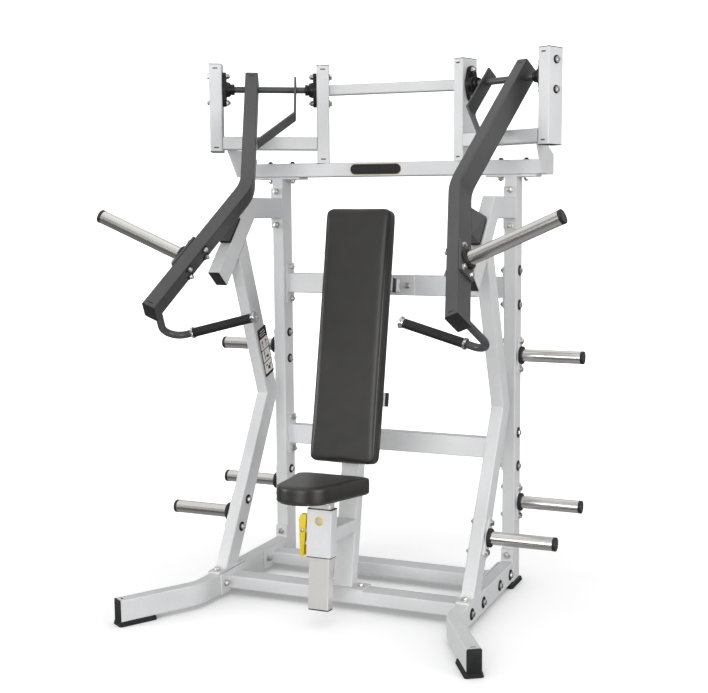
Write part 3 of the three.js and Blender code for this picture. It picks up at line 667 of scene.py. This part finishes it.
def horn(name, body, spot, length, node, plate, plate_material, plate_slot):
    """Weight horn along the frame's z: bolted plate, black collar, bright tube and end cap."""
    width, height = plate
    base = Shape().prism(rounded(width, height, 5, 4), 0, 8, spot, plate_material, 1)
    base.make(f"{name}_plate", body, plate_slot)
    trim = Shape()
    collar = [(24.2, 8), (33.8, 8), (34.4, 9), (34.4, 18.5), (33.4, 20), (24.2, 20)]
    trim.lathe(collar, spot, "rubber", 48, closed=True)
    cap = [(0, -16), (19, -16), (20, -12), (24.4, -12), (24.8, -11),
           (24.8, -1.6), (23.4, 0), (20, 0), (19, -1.6), (0, -1.6)]
    trim.lathe([(r, length + z) for r, z in cap], spot, "plastic", 48)
    face = [(0, -2.4), (18.8, -2.4), (18.8, -1.2), (18.2, -0.9), (6, -0.9), (5, -1.5), (0, -1.5)]
    trim.lathe([(r, length + z) for r, z in face], spot, "cap_face", 40)
    trim.make(f"{name}_trim", body, "black_rubber")
    tube = [(20.5, 4), (24, 4), (24, length - 12.6), (23.6, length - 12.1), (20.5, length - 12.1)]
    turned_piece(tube, "chrome", 56, name, body, "satin_chrome", spot, [node], True)


def storage_horn(side, s, place, bolts):
    face = SIDE_X + HALF[0] + 0.3
    lean = LEG_LEAN if place == "front" else 0.0
    y = LEG_KINK[0] - (LEG_KINK[1] - HORN_Z["front"]) * math.tan(LEG_LEAN) if place == "front" else HALF[1]
    up = Vector((0, math.sin(lean), math.cos(lean)))
    spot = facing(side_point(s, face, y, HORN_Z[place]), (s, 0, 0), up)
    name = f"storage_horn_{place}_{side}"
    horn(f"{name}_tube", "frame", spot, HORN_LENGTH, name, (50, 140), "white", "white_powder_coat")
    for end in (-1, 1):
        bolts.bolt(local(spot, 0, end * HORN_BOLT, 8))
        inner = side_point(s, SIDE_X - HALF[0], y, HORN_Z[place]) + up * end * HORN_BOLT * MM
        bolts.nut(facing(inner, (-s, 0, 0), up), washer=18.5, bright=False)


# --- side frame


def plug(shape, spot):
    """Pressed-in tube cap, its rim just inside the tube's wall."""
    width, height = (side - 2 * WALL - 0.4 for side in TUBE)
    shape.prism(rounded(width, height, 2.5, 3), -9, 0.6, spot, "plastic", 0.8)


def end_cap(shape, spot, thickness=4):
    """Cap whose lip covers the end of the tube."""
    width, height = (side + 0.6 for side in TUBE)
    shape.prism(rounded(width, height, 6, 4), 0.3, thickness, spot, "plastic", 1.2, 3)


def slot_mark(shape, spot):
    """Slot that a cap's barb snaps into, drawn as a thin dark patch on the tube's face. Its dark is partly
    the black barb and partly painted shade down in the slot.
    """
    outline = rounded(20, 4.6, 2.25, 5)
    shape.prism(outline, -0.4, 0.25, spot, "dark", 0.1, 1)


def side_bolts(side, s, at, leg_foot):
    """Bolts and nuts of one side. at places a point of the side and the way it faces."""
    bolts = Fasteners()
    out, outer = (s, 0, 0), SIDE_X + HALF[0]
    pairs = [(BAR_Y, z + dz) for z in BAR_Z for dz in (-66, 66)]
    for y, gap in zip(CROSS_Y, (65.7, 68.5)):
        pairs += [(y + dy, 54) for dy in (-gap, gap)]
    for y, z in pairs:
        bolts.bolt(at(outer, y, z, out), washer=WIDE_WASHER, bright=False)
        bolts.nut(at(INNER_PLATE, y, z, (-s, 0, 0)))
    bolts.bolt(at(SIDE_X, -FLANGE, 117, FORWARD))
    for z in (TIE_Z - 67.5, TIE_Z + 67.5):
        bolts.bolt(at(SIDE_X, -FLANGE, z, FORWARD))
        bolts.nut(at(SIDE_X, TUBE[1], z, -FORWARD))
    for x in (SIDE_X - 50, SIDE_X + 50):
        bolts.domed(at(x, HALF[1], BEAM_Z1, UP))
        bolts.nut(at(x, HALF[1], BEAM_Z0 - FLANGE, -UP))
    for dy in (-71, 71):
        bolts.bolt(at(SIDE_X, leg_foot + dy, RAIL_TOP + FLANGE, UP))
    for place in HORN_Z:
        storage_horn(side, s, place, bolts)
    bolts.make(f"frame_{side}", "frame")


def side_frame(side, s):
    caps, slots, beads = Shape(), Shape(), Shape()
    inward = (-s, 0, 0)
    leg_foot = LEG_KINK[0] - (LEG_KINK[1] - 98) * math.tan(LEG_LEAN)

    def at(x, y, z, out):
        return facing(side_point(s, x, y, z), out)

    side_bolts(side, s, at, leg_foot)
    toe_run = Vector((s * math.sin(TOE), -math.cos(TOE), 0))
    toe_tip = side_point(s, *TOE_TIP, FLOOR_PAD + HALF[1])
    end_cap(caps, facing(toe_tip, toe_run))
    stop_tip = side_point(s, SIDE_X, *STOP_TIP)
    plug(caps, facing(stop_tip, STOP_RUN))
    face = STOP_OFF * s
    slot_mark(slots, facing(stop_tip + (face * HALF[1] - STOP_RUN * CAP_SLOT) * MM, face, STOP_RUN))
    slot_mark(slots, facing(toe_tip + (UP * HALF[1] - toe_run * CAP_SLOT) * MM, UP, toe_run))
    pivot = pivot_frame(s)
    for near, foot in POSTS.values():
        x = near + HALF[0]
        for z, way in ((POST_TOP, 1), (foot, -1)):
            end_cap(caps, moved(pivot, (x, POST_Y, z), (0, 0, way), (0, -1, 0)), 2.6)
            slot_mark(slots, moved(pivot, (x, POST_Y - HALF[1], z - way * 15), (0, -1, 0)))
    caps.make(f"tube_caps_{side}", "frame", "black_nylon")
    slots.make(f"cap_slots_{side}", "frame", "black_nylon")

    for z in BAR_Z:
        weld(beads, at(INNER_PLATE, BAR_Y, z, inward), *TUBE)
    for y in CROSS_Y:
        weld(beads, at(INNER_PLATE, y, 50, inward), *TUBE[::-1])
    for z in (TIE_Z, FLOOR_PAD + HALF[1]):
        weld(beads, at(SIDE_X, -FLANGE, z, FORWARD), *TUBE)
    weld(beads, at(SIDE_X, leg_foot, RAIL_TOP + FLANGE, UP), TUBE[0], TUBE[1] / math.cos(LEG_LEAN))
    inner_x = POSTS["inner"][0] + HALF[0]
    beam_top = BEAM_Z1 - pivot.translation.z / MM
    weld(beads, moved(pivot, (inner_x, POST_Y, beam_top), (0, 0, 1), (0, -1, 0)), *TUBE)
    beads.make(f"weld_beads_{side}", "frame", "white_powder_coat")
    floor_pads(side, s, toe_tip, toe_run)


def floor_pads(side, s, toe_tip, toe_run):
    """Ribbed rubber feet under the rail."""
    top = FLOOR_PAD - 0.3
    places = {
        "front": (facing(Vector((toe_tip.x, toe_tip.y, 0)) - toe_run * 62 * MM, UP, toe_run), 64),
        "rear": (facing(side_point(s, SIDE_X, 12, 0), UP, FORWARD), 76),
    }
    length = 140
    for place, (spot, width) in places.items():
        pad = Shape()
        for trim, corner, low, high, bevel in ((0, 8, 0, 4.5, 1), (3, 7, 3.5, 9.5, 1), (5, 6, 8.5, top, 1.2)):
            pad.prism(rounded(width - trim, length - trim, corner), low, high, spot, "rubber", bevel)
        name = f"foot_pad_{place}_{side}"
        pad.make(f"{name}_moulded", "frame", "black_rubber", replaces=[name])


# --- bearings


def bearing(name, spot, bolts):
    """Two-bolt flange bearing: cast housing, insert ring and locking collar, bore along z."""
    neck, end, middle = 48.3, 19.2, 31
    cloud = arc(0, neck, end, 0, 180, 14) + arc(0, -neck, end, 180, 360, 14) + arc(0, 0, middle, 0, 352, 30)
    outline = [cloud[i] for i in geometry.convex_hull_2d([Vector(p) for p in cloud])]
    body = Shape().prism(outline, 0.3, 14, spot, "iron", 2.2, 3)
    boss = [(13, 12), (31, 12), (29.5, 20), (27.5, 27), (26, 30), (24, 31), (13, 31)]
    insert = [(13, 30), (20.5, 30), (20.5, 34.5), (19.8, 35), (13, 35)]
    collar = [(12.9, 34.5), (20.4, 34.5), (21, 35.2), (21, 45.2), (20.2, 46), (12.9, 46)]
    for profile, segments in ((boss, 44), (insert, 40), (collar, 40)):
        body.lathe(profile, spot, "iron", segments, closed=True)
    for end_y in (-BEARING_BOLT, BEARING_BOLT):
        bolts.nut(local(spot, 0, end_y, 14), washer=12)
    screw = local(spot, 0, 20.6, 40.5) @ Matrix.Rotation(-math.pi / 2, 4, "X")
    body.lathe([(0, -2), (3, -2), (3, 1), (1.6, 1), (1.6, 0), (0, 0)], screw, "zinc", 16)
    body.make(f"{name}_housing", "frame", "black_iron", replaces=[name])


def bearings(side, s):
    bolts = Fasteners()
    pivot = pivot_frame(s)
    for place, (near, _) in POSTS.items():
        x, way = (near, -1) if place == "outer" else (near + 2 * HALF[0], 1)
        bearing(f"{place}_bearing_{side}", moved(pivot, (x, 0, 0), (way, 0, 0)), bolts)
        far = x - way * 2 * HALF[0]
        for end in (-BEARING_BOLT, BEARING_BOLT):
            bolts.bolt(moved(pivot, (far, 0, end), (-way, 0, 0)), washer=15, bright=False)
    bolts.make(f"bearing_{side}", "frame")


# --- press arms


def shaft(side, arm):
    inner = POSTS["inner"][0] + 2 * HALF[0] + 1
    length = POSTS["outer"][0] - 1 - inner
    spot = moved(arm, (inner, 0, 0), (1, 0, 0))
    r, edge = 12.4, 1
    profile = [(0, 0), (r - edge, 0), (r, edge), (r, length - edge), (r - edge, length), (0, length)]
    name = f"pivot_shaft_{side}"
    turned_piece(profile, "grey", 40, f"{name}_bar", f"{side}_arm", "black_iron", spot, [name])


def handle(side, arm):
    body = f"{side}_arm"
    corner, tip = Vector((299, 235, -1024)), Vector((-40, 87, -1024))
    root = Vector((299, 40.3, -1024))
    inward = (tip - corner).normalized()
    path = fillet([root, corner, tip - inward * 4], 58, 12)
    tube = Shape().sweep(path, 13.5, "grey", 32, matrix=arm)
    tube.make(f"handle_{side}_tube", body, "grey_powder_coat", replaces=[f"handle_{side}"])
    bead = [(13.5, -0.2), (18, -0.2), (16.5, 2.4), (13.6, 5)]
    foot = Shape().lathe(bead, moved(arm, root, (0, 1, 0)), "grey", 32, closed=True)
    foot.make(f"handle_weld_{side}", body, "grey_powder_coat")
    length = 257
    spot = moved(arm, tip - inward * length, inward)
    grip = [(14.2, 9), (16.6, 9), (17, 10)]
    ridges, start, run = 56, 12.0, 224.0
    for k in range(ridges):
        z = start + run * k / ridges
        grip += [(17, z), (17, z + 2.6), (16.5, z + 3.0), (16.5, z + 3.6)]
    grip += [(17, 237), (17, 241), (16.6, 242), (14.2, 242)]
    name = f"grip_{side}"
    turned_piece(grip, "rubber", 36, f"{name}_rubber", body, "black_rubber", spot, [name], True)
    ends = Shape()
    ring = [(14, 0), (19.6, 0), (20.5, 0.8), (20.5, 8.2), (19.6, 9), (14, 9)]
    cap = [(0, 240), (15, 240), (16.9, 241.5), (17.6, 245), (20.2, 249), (21.5, 251.5),
           (21.5, 255.4), (20.4, 257), (7, 257), (6, 256), (0, 256)]
    for profile, closed in ((ring, True), (cap, False)):
        ends.lathe(profile, Matrix(), "aluminium", 44, closed)
    ends.make(f"grip_ends_{side}", body, "zinc_steel", matrix=spot)


def bumper(side):
    """Tapered rubber buffer in the room between the stop block and the stop arm."""
    node = frame["nodes"][f"bumper_{side}"]
    corners = [vertex.co for vertex in node.data.vertices]
    across = [corner.dot(STOP_OFF) for corner in corners]
    along = [corner.dot(STOP_RUN) for corner in corners]
    x = sum(corner.x for corner in corners) / len(corners)
    centre = Vector((x, 0, 0)) + STOP_RUN * (min(along) + max(along)) / 2 + STOP_OFF * min(across)
    spot = facing(centre, STOP_OFF, STOP_RUN)
    width = 46
    length, thickness = ((max(reach) - min(reach)) / MM for reach in (along, across))
    shape = Shape()
    shape.prism(rounded(width - 8, length - 12, 8), 0.2, thickness * 0.5, spot, "rubber", 2, 3)
    shape.prism(rounded(width, length, 5), thickness * 0.4, thickness, spot, "rubber", 1)
    shape.make(f"bumper_{side}_rubber", f"{side}_arm", "black_rubber", replaces=[f"bumper_{side}"])


def press_arm(side, s):
    body, arm = f"{side}_arm", arm_frame(s)
    bolts, caps, slots = Fasteners(), Shape(), Shape()
    shaft(side, arm)
    handle(side, arm)
    bumper(side)
    spot = moved(arm, on_lower(ARM_HORN_ALONG, HALF[0] + 0.3, 0), LOWER_OUT, LOWER_DOWN)
    horn(f"weight_horn_{side}_tube", body, spot, ARM_HORN_LENGTH, f"weight_horn_{side}", (80, 140),
         "grey", "grey_powder_coat")
    for along in (ARM_HORN_ALONG - 50, ARM_HORN_ALONG + 50):
        for y in (-22, 22):
            front, back = on_lower(along, HALF[0] + FLANGE, y), on_lower(along, -HALF[0], y)
            bolts.bolt(moved(arm, front, LOWER_OUT, LOWER_DOWN), 16, 8, 11)
            bolts.nut(moved(arm, back, -LOWER_OUT, LOWER_DOWN), 16, 8, 15, bright=False)
    bolts.make(f"arm_{side}", body)
    end_cap(caps, moved(arm, (0, 0, ARM_TOP), (0, 0, 1), (0, 1, 0)), 3)
    end_cap(caps, moved(arm, on_lower(ARM_LOWER, 0, 0), LOWER_DOWN, (0, 1, 0)), 3)
    caps.make(f"arm_caps_{side}", body, "black_nylon")
    slot_mark(slots, moved(arm, on_lower(ARM_LOWER - CAP_SLOT, 0, -HALF[1]), (0, -1, 0), LOWER_DOWN))
    slot_mark(slots, moved(arm, (0, -HALF[1], ARM_TOP - CAP_SLOT), (0, -1, 0), (0, 0, 1)))
    slots.make(f"arm_slots_{side}", body, "black_nylon")


# --- soft pads


def calm(mesh, shifts, rounds=12):
    """Evens every point's shift out with its neighbours', so the cover swells without lumps."""
    near = [[] for _ in mesh.vertices]
    for edge in mesh.edges:
        a, b = edge.vertices
        near[a].append(b)
        near[b].append(a)
    for _ in range(rounds):
        shifts = [sum((shifts[i] for i in ties), shift) / (len(ties) + 1)
                  for shift, ties in zip(shifts, near)]
    return shifts


def swell(pad, held, limit, voxel):
    """Blows the cover up with a cloth simulation. held says which points stay on the board."""
    bpy.context.view_layer.objects.active = pad
    modify(pad, "remesh", "REMESH", mode="VOXEL", voxel_size=voxel * MM)
    bpy.ops.object.modifier_apply(modifier="remesh")
    rest = [vertex.co.copy() for vertex in pad.data.vertices]
    group = pad.vertex_groups.new(name="held")
    group.add([i for i, co in enumerate(rest) if held(co)], 1.0, "REPLACE")
    cloth = modify(pad, "cloth", "CLOTH")
    settings = cloth.settings
    settings.quality = 4
    settings.mass = 0.4
    settings.tension_stiffness = settings.compression_stiffness = 25
    settings.bending_stiffness = 4
    settings.use_pressure = True
    settings.uniform_pressure_force = 2.0
    settings.vertex_group_mass = "held"
    settings.effector_weights.gravity = 0
    cloth.collision_settings.use_collision = False
    for step in range(1, 21):
        bpy.context.scene.frame_set(step)
    swollen = pad.evaluated_get(bpy.context.evaluated_depsgraph_get())
    shifts = [vertex.co - start for vertex, start in zip(swollen.data.vertices, rest)]
    pad.modifiers.remove(cloth)
    for vertex, start, shift in zip(pad.data.vertices, rest, calm(pad.data, shifts)):
        vertex.co = start + shift * min(1.0, limit * MM / max(shift.length, 1e-9))
    bpy.context.scene.frame_set(1)
    modify(pad, "even", "SMOOTH", factor=0.5, iterations=10)
    bpy.ops.object.modifier_apply(modifier="even")
    modify(pad, "fine", "SUBSURF", levels=1, render_levels=1)
    bpy.ops.object.modifier_apply(modifier="fine")
    pad.data.shade_smooth()


def new_pad(name, outline, z0, z1, bevel):
    """Plain start of a pad, its board side at z0."""
    shape = Shape().prism(outline, z0, z1, Matrix(), "leather", bevel, 5)
    bmesh.ops.recalc_face_normals(shape.mesh, faces=shape.mesh.faces[:])
    return shape.end(name)


def seam(pad, outline, height, size, name, body, matrix):
    """Cord sewn round the pad at that height, half sunk in its cover."""
    surface = BVHTree.FromPolygons([v.co for v in pad.data.vertices], [p.vertices for p in pad.data.polygons])
    count, reach = 260, 40
    lengths = [0.0]
    for a, b in zip(outline, outline[1:] + outline[:1]):
        lengths.append(lengths[-1] + (Vector(b) - Vector(a)).length)
    path = []
    for k in range(count):
        goal = lengths[-1] * k / count
        i = max(j for j, length in enumerate(lengths[:-1]) if length <= goal)
        a, b = Vector(outline[i]), Vector(outline[(i + 1) % len(outline)])
        place = a.lerp(b, (goal - lengths[i]) / max(lengths[i + 1] - lengths[i], 1e-9))
        run = (b - a).normalized()
        path.append((Vector((*place, height)), Vector((run.y, -run.x, 0))))
    hits = []
    for k, (point, out) in enumerate(path):
        out = (path[k - 1][1] + out * 2 + path[(k + 1) % count][1]).normalized()
        hit = surface.ray_cast((point + out * reach) * MM, -out, 2 * reach * MM)[0]
        hits.append(hit / MM if hit else point)
    cord = Shape().sweep(hits, size, "thread", 8, closed=True)
    cord.make(name, body, "charcoal_leatherette", matrix=matrix)


def inset(outline, amount):
    """The outline moved inward by that much, for a counter-clockwise outline."""
    out = []
    for before, point, after in zip(outline[-1:] + outline[:-1], outline, outline[1:] + outline[:1]):
        run = (Vector(after) - Vector(before)).normalized()
        out.append((point[0] - run.y * amount, point[1] + run.x * amount))
    return out


def backrest():
    """Board, foam and cover. Local x across, y up the pad, z out of its front."""
    tilt = Matrix.Rotation(-BACK_TILT, 3, "X")
    up, out = tilt @ UP, tilt @ FORWARD
    middle = (up * PAD["length"] / 2 - out * PAD["thickness"]) * MM
    spot = facing(side_point(1, 0, *PAD_BOTTOM) + middle, out, up)
    board, swelling = 12, 2
    outline = rounded(PAD["width"], PAD["length"], PAD["corner"], 8)
    pad = new_pad("backrest_cover", inset(outline, swelling), board * 0.5, PAD["thickness"] - swelling, 21)
    swell(pad, lambda co: co.z < board * MM, 3, 5)
    pad.matrix_world = spot
    settle(pad, "frame", ["backrest_pad"])
    seam(pad, outline, PAD["thickness"] - 14, 1.3, "backrest_front_seam", "frame", spot)
    seam(pad, outline, board + 4, 1.1, "backrest_rear_seam", "frame", spot)
    plate = Shape().prism(inset(outline, 9), 0.3, board * 0.75, spot, "board", 1.5)
    plate.make("backrest_board", "frame", "black_nylon")


def seat_outline():
    rear, half, corner = SEAT_PAD["rear"], SEAT_PAD["half"], SEAT_PAD["corner"]
    nose_y, nose = SEAT_PAD["nose_y"], SEAT_PAD["nose"]
    knee = rear - corner
    turn = math.degrees(math.atan2(knee - nose_y, half) - math.acos(nose / math.hypot(half, knee - nose_y)))
    points = arc(half - corner, knee, corner, 0, 90, 8) + arc(corner - half, knee, corner, 90, 180, 8)
    return points + arc(0, nose_y, nose, 180 - turn, 360 + turn, 30)


def seat_cushion():
    """Board, foam and cover on the seat post's plate. Local frame as the sleeve's."""
    low, high = SEAT_PAD["bottom"], SEAT_PAD["bottom"] + SEAT_PAD["thickness"]
    outline = seat_outline()
    board, swelling = 10, 2
    pad = new_pad("seat_cover", inset(outline, swelling), low + 3, high - swelling, 14)
    swell(pad, lambda co: co.z < (low + board) * MM, 3.5, 4)
    pad.matrix_world = SEAT
    settle(pad, "seat_carriage", ["seat_pad"])
    seam(pad, outline, low + 8, 1.1, "seat_rear_seam", "seat_carriage", SEAT)
    plate = Shape().prism(inset(outline, 10), low + 0.2, low + 8, SEAT, "board", 1.5)
    plate.make("seat_board", "seat_carriage", "black_nylon")


# --- seat


def seat_details():
    ring = [(12.2, -0.4), (16.4, -0.4), (16.5, 0.6), (15.8, 1.6), (13.2, 2.0), (12.2, 1.4)]
    window = local(SEAT, 0, SLEEVE_FRONT, WINDOW_Z) @ Matrix.Rotation(math.pi / 2, 4, "X")
    turned_piece(ring, "yellow", 48, "sight_window_ring", "frame", "yellow_paint", window, closed=True)
    caps = Shape()
    caps.prism(rounded(73, 33, 2.5, 3), SEAT_POST_BOTTOM - 2, SEAT_POST_BOTTOM + 8, SEAT, "plastic", 0.8)
    caps.prism(rounded(79.6, 39.6, 5, 4), SEAT_POST_BOTTOM - 4, SEAT_POST_BOTTOM - 0.3, SEAT, "plastic", 1.2)
    caps.make("seat_post_cap", "seat_carriage", "black_nylon")
    bolts = Fasteners()
    for x in (-65, 65):
        for y in (-105, 45):
            bolts.bolt(moved(SEAT, (x, y, 124), (0, 0, -1), (0, 1, 0)), 10, 4, 8)
    bolts.make("seat_plate", "seat_carriage")


def seat_lever():
    """Pressed channel that turns on a pin through two lugs, and pulls the lock pin at its foot."""
    outer, inner, low, high = LEVER["outer"], LEVER["inner"], LEVER["bottom"], LEVER["top"]
    half, sheet = 12, 2.6
    lever = Shape()
    face = moved(SEAT, (0, 0, 0), (0, -1, 0))

    def cheek(x0, x1, z0, z1, depth, thick, lean):
        """Leaning strip drawn in x and z, thick along y, with rounded ends."""
        outline = [(x0 + 10, z0), (x1 - 8, z0), (x1 - 6, z0 + 5), (x1, z1 - 22), (x1, z1)]
        outline += [(x0 + lean, z1), (x0 + 1, z1 - 9), (x0, z1 - 22), (x0 + 7, z0 + 5)]
        lever.prism(outline, depth - thick, depth, face, "yellow", 0.7)

    for depth in (half, -half + sheet):
        cheek(outer, inner, low, high, depth, sheet, 8)
    back = [(outer + 7, low + 5), (outer, high - 22), (outer + 1, high - 9), (outer + 8, high)]
    strip = back + [(x + sheet, z) for x, z in reversed(back)]
    lever.prism(strip, -half + 0.5, half - 0.5, face, "yellow", 0.5)
    lever.make("seat_lever_channel", "seat_lever", "yellow_paint", replaces=["seat_lever"])

    pin = local(SEAT, LEVER["x"], 0, LEVER["z"]) @ Matrix.Rotation(math.pi / 2, 4, "X")
    rivet = [(0, -17), (4.2, -17), (5.2, -16), (5.2, -12.6), (3, -12.4), (3, 12.4), (6, 12.4), (6, 14.5),
             (5, 16.4), (2.2, 17), (2.2, 15.8), (0, 15.8)]
    turned_piece(rivet, "zinc", 28, "lever_pivot_pin", "frame", "zinc_steel", pin, ["lever_pivot"])
    head_x, tip_x = outer + 8, -40.3
    lock = moved(SEAT, (head_x, 0, -41), (1, 0, 0))
    length = tip_x - head_x
    profile = [(0, 0), (6, 0), (7, 1), (7, 3), (6, 4), (5, 4.4), (5, length - 1.6), (4, length), (0, length)]
    turned_piece(profile, "zinc", 32, "lock_pin_turned", "lock_pin", "zinc_steel", lock, ["lock_pin"])


# --- back and trim


def back_details():
    bolts, beads = Fasteners(), Shape()
    foot_top = 81.6
    link_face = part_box("post_link")[1].y / MM - FACE_Y - 8
    for x in (-66, 66):
        bolts.bolt(facing(side_point(1, x, CROSS_Y[0], foot_top), UP))
        bolts.bolt(facing(side_point(1, x * 1.05, link_face, BAR_Z[0]), FORWARD))
    bolts.make("back", "frame")
    weld(beads, facing(side_point(1, 0, CROSS_Y[0] + 9.5, foot_top), UP, FORWARD), 75, 52)
    beads.make("weld_beads_back", "frame", "white_powder_coat")
    # Black blocks over the ends of the pad brackets' wings, which make the wings read dark beside the pad.
    wing_blocks = Shape()
    x0, x1, y0, y1 = 112.5, 120.8, -24, 11.8
    section = [(x0, y0), (x1, y0), (x1, y1), (x0, y1)]
    height, lip = 50, 0.8
    for way in (BACK, BACK @ MIRROR):
        for z in BRACKET_Z:
            wing_blocks.prism(section, z - lip, z + height + lip, way, "plastic", 1.2)
    wing_blocks.make("bracket_wing_blocks", "frame", "black_nylon")


def badge():
    """Blank pill-shaped badge with a gold rim on the crossbeam."""
    spot = facing(side_point(1, -59, 0, (BEAM_Z0 + BEAM_Z1) / 2), FORWARD)
    rim = Shape().prism(rounded(216, 42, 20.9, 12), 0.2, 2.0, spot, "gold", 0.6)
    rim.make("badge_rim", "frame", "yellow_paint")
    plate = Shape().prism(rounded(211.5, 37.5, 18.7, 12), 1.6, 3.0, spot, "dark", 0.4)
    plate.make("badge_plate", "frame", "black_nylon")


def placard():
    """Instruction plate with plain marks, on the inner face of one leg."""
    lean = math.radians(19.2)
    up = Vector((0, -math.sin(lean), math.cos(lean)))
    spot = facing(side_point(-1, SIDE_X - HALF[0], -165.5, 897.8), (1, 0, 0), up)
    sheet = Shape().prism(rounded(70, 204, 4), 0.1, 0.7, spot, "dark", 0.2, 1)
    sheet.make("placard_film", "frame", "black_nylon")
    marks = Shape()

    def mark(x, y, width, height, material, level=1, corner=1):
        low = 0.4 + level * 0.2
        marks.prism(rounded(width, height, corner), low, low + 0.25, local(spot, x, y, 0), material)

    for y, width in ((88, 34), (78, 46), (69, 40)):
        mark(0, y, width, 2.6, "label")
    for y in (35, -16, -67):
        mark(0, y, 60, 47, "label", corner=3)
    for x, y, width, height, material in (
            (-14, 42, 9, 12, "red"), (14, 42, 9, 12, "red"), (-14, 26, 3, 16, "plastic"),
            (14, 26, 3, 16, "plastic"), (-12, -14, 4, 36, "plastic"), (8, -24, 18, 10, "plastic"),
            (14, -30, 8, 8, "yellow"), (-10, -58, 14, 6, "plastic"), (4, -72, 18, 12, "plastic"),
            (16, -62, 14, 8, "red"), (10, -82, 10, 7, "yellow")):
        mark(x, y, width, height, material, 2)
    marks.make("placard_marks", "frame", "white_powder_coat")


def glow(name, color, near, rough=0.65):
    """Stage surface with a light of its own, weak near the object and where something lies close over it. The
    glow is painted light that keeps the floor white, and its fall near the object and under the tubes is a
    painted shadow.
    """
    finish = Finish(name, 0.0, Emission_Color=(1, 1, 1, 1))
    finish.color(finish.blend(finish.noise(0.6, 2), (0.3, color), (0.7, color)))
    finish.rough(finish.noise(3, 2), rough, rough + 0.05)
    # Painted shadow: the glow is weaker within about 3 m of the middle, and weaker still where ambient
    # occlusion finds something close above the floor.
    length = finish.node("ShaderNodeVectorMath")
    length.operation = "LENGTH"
    finish.link(finish.space, length.inputs[0])
    far = finish.between(length.outputs["Value"], near, 1.0, 1.0, 3.2)
    cover = finish.node("ShaderNodeAmbientOcclusion", Distance=0.17)
    cover.samples = 4
    strength = finish.node("ShaderNodeMath")
    strength.operation = "MULTIPLY"
    finish.link(far, strength.inputs[0])
    finish.link(finish.between(cover.outputs["AO"], 0.0, 1.0, 0.25, 0.9), strength.inputs[1])
    finish.link(strength.outputs[0], finish.shader.inputs["Emission Strength"])
    return finish.material


def stage_piece(name, material, rings):
    """A disc or dome from (radius, height) rings; it gives the object no light of its own."""
    mesh = bmesh.new()
    angles = [k * math.pi / 24 for k in range(48)]
    rows = [[mesh.verts.new((r * math.cos(a), r * math.sin(a), z)) for a in angles] for r, z in rings]
    for lower, upper in zip(rows, rows[1:]):
        for k in range(len(angles)):
            mesh.faces.new((lower[k - 1], lower[k], upper[k], upper[k - 1])).smooth = True
    mesh.faces.new(rows[0] if name == "floor" else rows[-1])
    piece = placed(name, finished(mesh, name, [material]))
    piece.visible_diffuse = piece.visible_glossy = False
    return piece


def stage():
    """Pale floor that fades into a white dome far away."""
    radius = 40.0
    stage_piece("floor", glow("studio_floor", "#f4f4f4", 0.34), [(4.0, 0.0), (radius, 0.0)])
    angles = [math.radians(a) for a in range(-6, 90, 8)]
    dome = [(radius * math.cos(a), radius * math.sin(a)) for a in angles]
    sky = stage_piece("backdrop", glow("studio_backdrop", "#ffffff", 1.0), dome)
    sky.visible_shadow = False


def light(name, place, target, size, share):
    """share is the light that a white face square to the lamp sends back, as a part of full white."""
    direction = Vector(target) - Vector(place)
    data = bpy.data.lights.new(name, "AREA")
    data.shape = "DISK"
    data.size = size
    data.energy = share * math.pi ** 2 * direction.length_squared
    lamp = placed(name, data)
    lamp.matrix_world = Matrix.Translation(place) @ direction.to_track_quat("-Z", "Y").to_matrix().to_4x4()


def sky_ramp(tree, share, *stops):
    """Grey of the sky from straight down (share 0) to straight up (share 1)."""
    return ramp(tree, share.outputs["Result"], [(place, (grey, grey, grey, 1.0)) for place, grey in stops])


def lights():
    world = bpy.data.worlds.new("studio")
    world.use_nodes = True
    tree = world.node_tree
    sky = tree.nodes["Background"]
    height = tree.nodes.new("ShaderNodeSeparateXYZ")
    tree.links.new(tree.nodes.new("ShaderNodeTexCoord").outputs["Generated"], height.inputs[0])
    share = tree.nodes.new("ShaderNodeMapRange")
    share.inputs["From Min"].default_value = -1.0
    tree.links.new(height.outputs["Z"], share.inputs["Value"])
    soft = sky_ramp(tree, share, (0.3, 0.33), (0.6, 0.56))
    banded = sky_ramp(tree, share, (0.0, 0.42), (0.3, 0.12), (0.45, 0.16),
                      (0.5, 0.5), (0.73, 0.36), (0.8, 1.0))
    path = tree.nodes.new("ShaderNodeLightPath")
    pick = tree.nodes.new("ShaderNodeMix")
    pick.data_type = "RGBA"
    tree.links.new(path.outputs["Is Glossy Ray"], pick.inputs["Factor"])
    tree.links.new(soft, pick.inputs[6])
    tree.links.new(banded, pick.inputs[7])
    tree.links.new(pick.outputs[2], sky.inputs["Color"])
    sky.inputs["Strength"].default_value = 1.0
    bpy.context.scene.world = world
    middle = (0, 0, 1.0)
    light("key", (-8.0, -4.6, 2.2), middle, 4.0, 0.34)
    light("front", (0.7, -8.5, 2.0), middle, 6.0, 0.46)
    light("fill", (8.0, -2.0, 1.6), middle, 4.0, 0.43)
    light("top", (0.0, 0.0, 7.0), middle, 5.0, 0.04)


def camera():
    """The photo's view, as fitted to the machine's edges."""
    data = bpy.data.cameras.new("camera")
    data.sensor_width = 36
    data.lens = 58.04
    data.shift_x, data.shift_y = -0.107, -0.005
    data.clip_start, data.clip_end = 0.05, 100
    view = placed("camera", data)
    view.location = (1.7317, -3.7466, 1.4322)
    view.rotation_euler = (math.radians(90 - 6.337), 0, math.radians(20.533))
    bpy.context.scene.camera = view


def main():
    camera()
    lights()
    stage()
    finish_cad_nodes()
    for side, s in SIDES.items():
        side_frame(side, s)
        bearings(side, s)
        press_arm(side, s)
    backrest()
    seat_cushion()
    seat_details()
    seat_lever()
    back_details()
    badge()
    placard()
    bpy.context.scene.view_settings.view_transform = "Standard"


main()
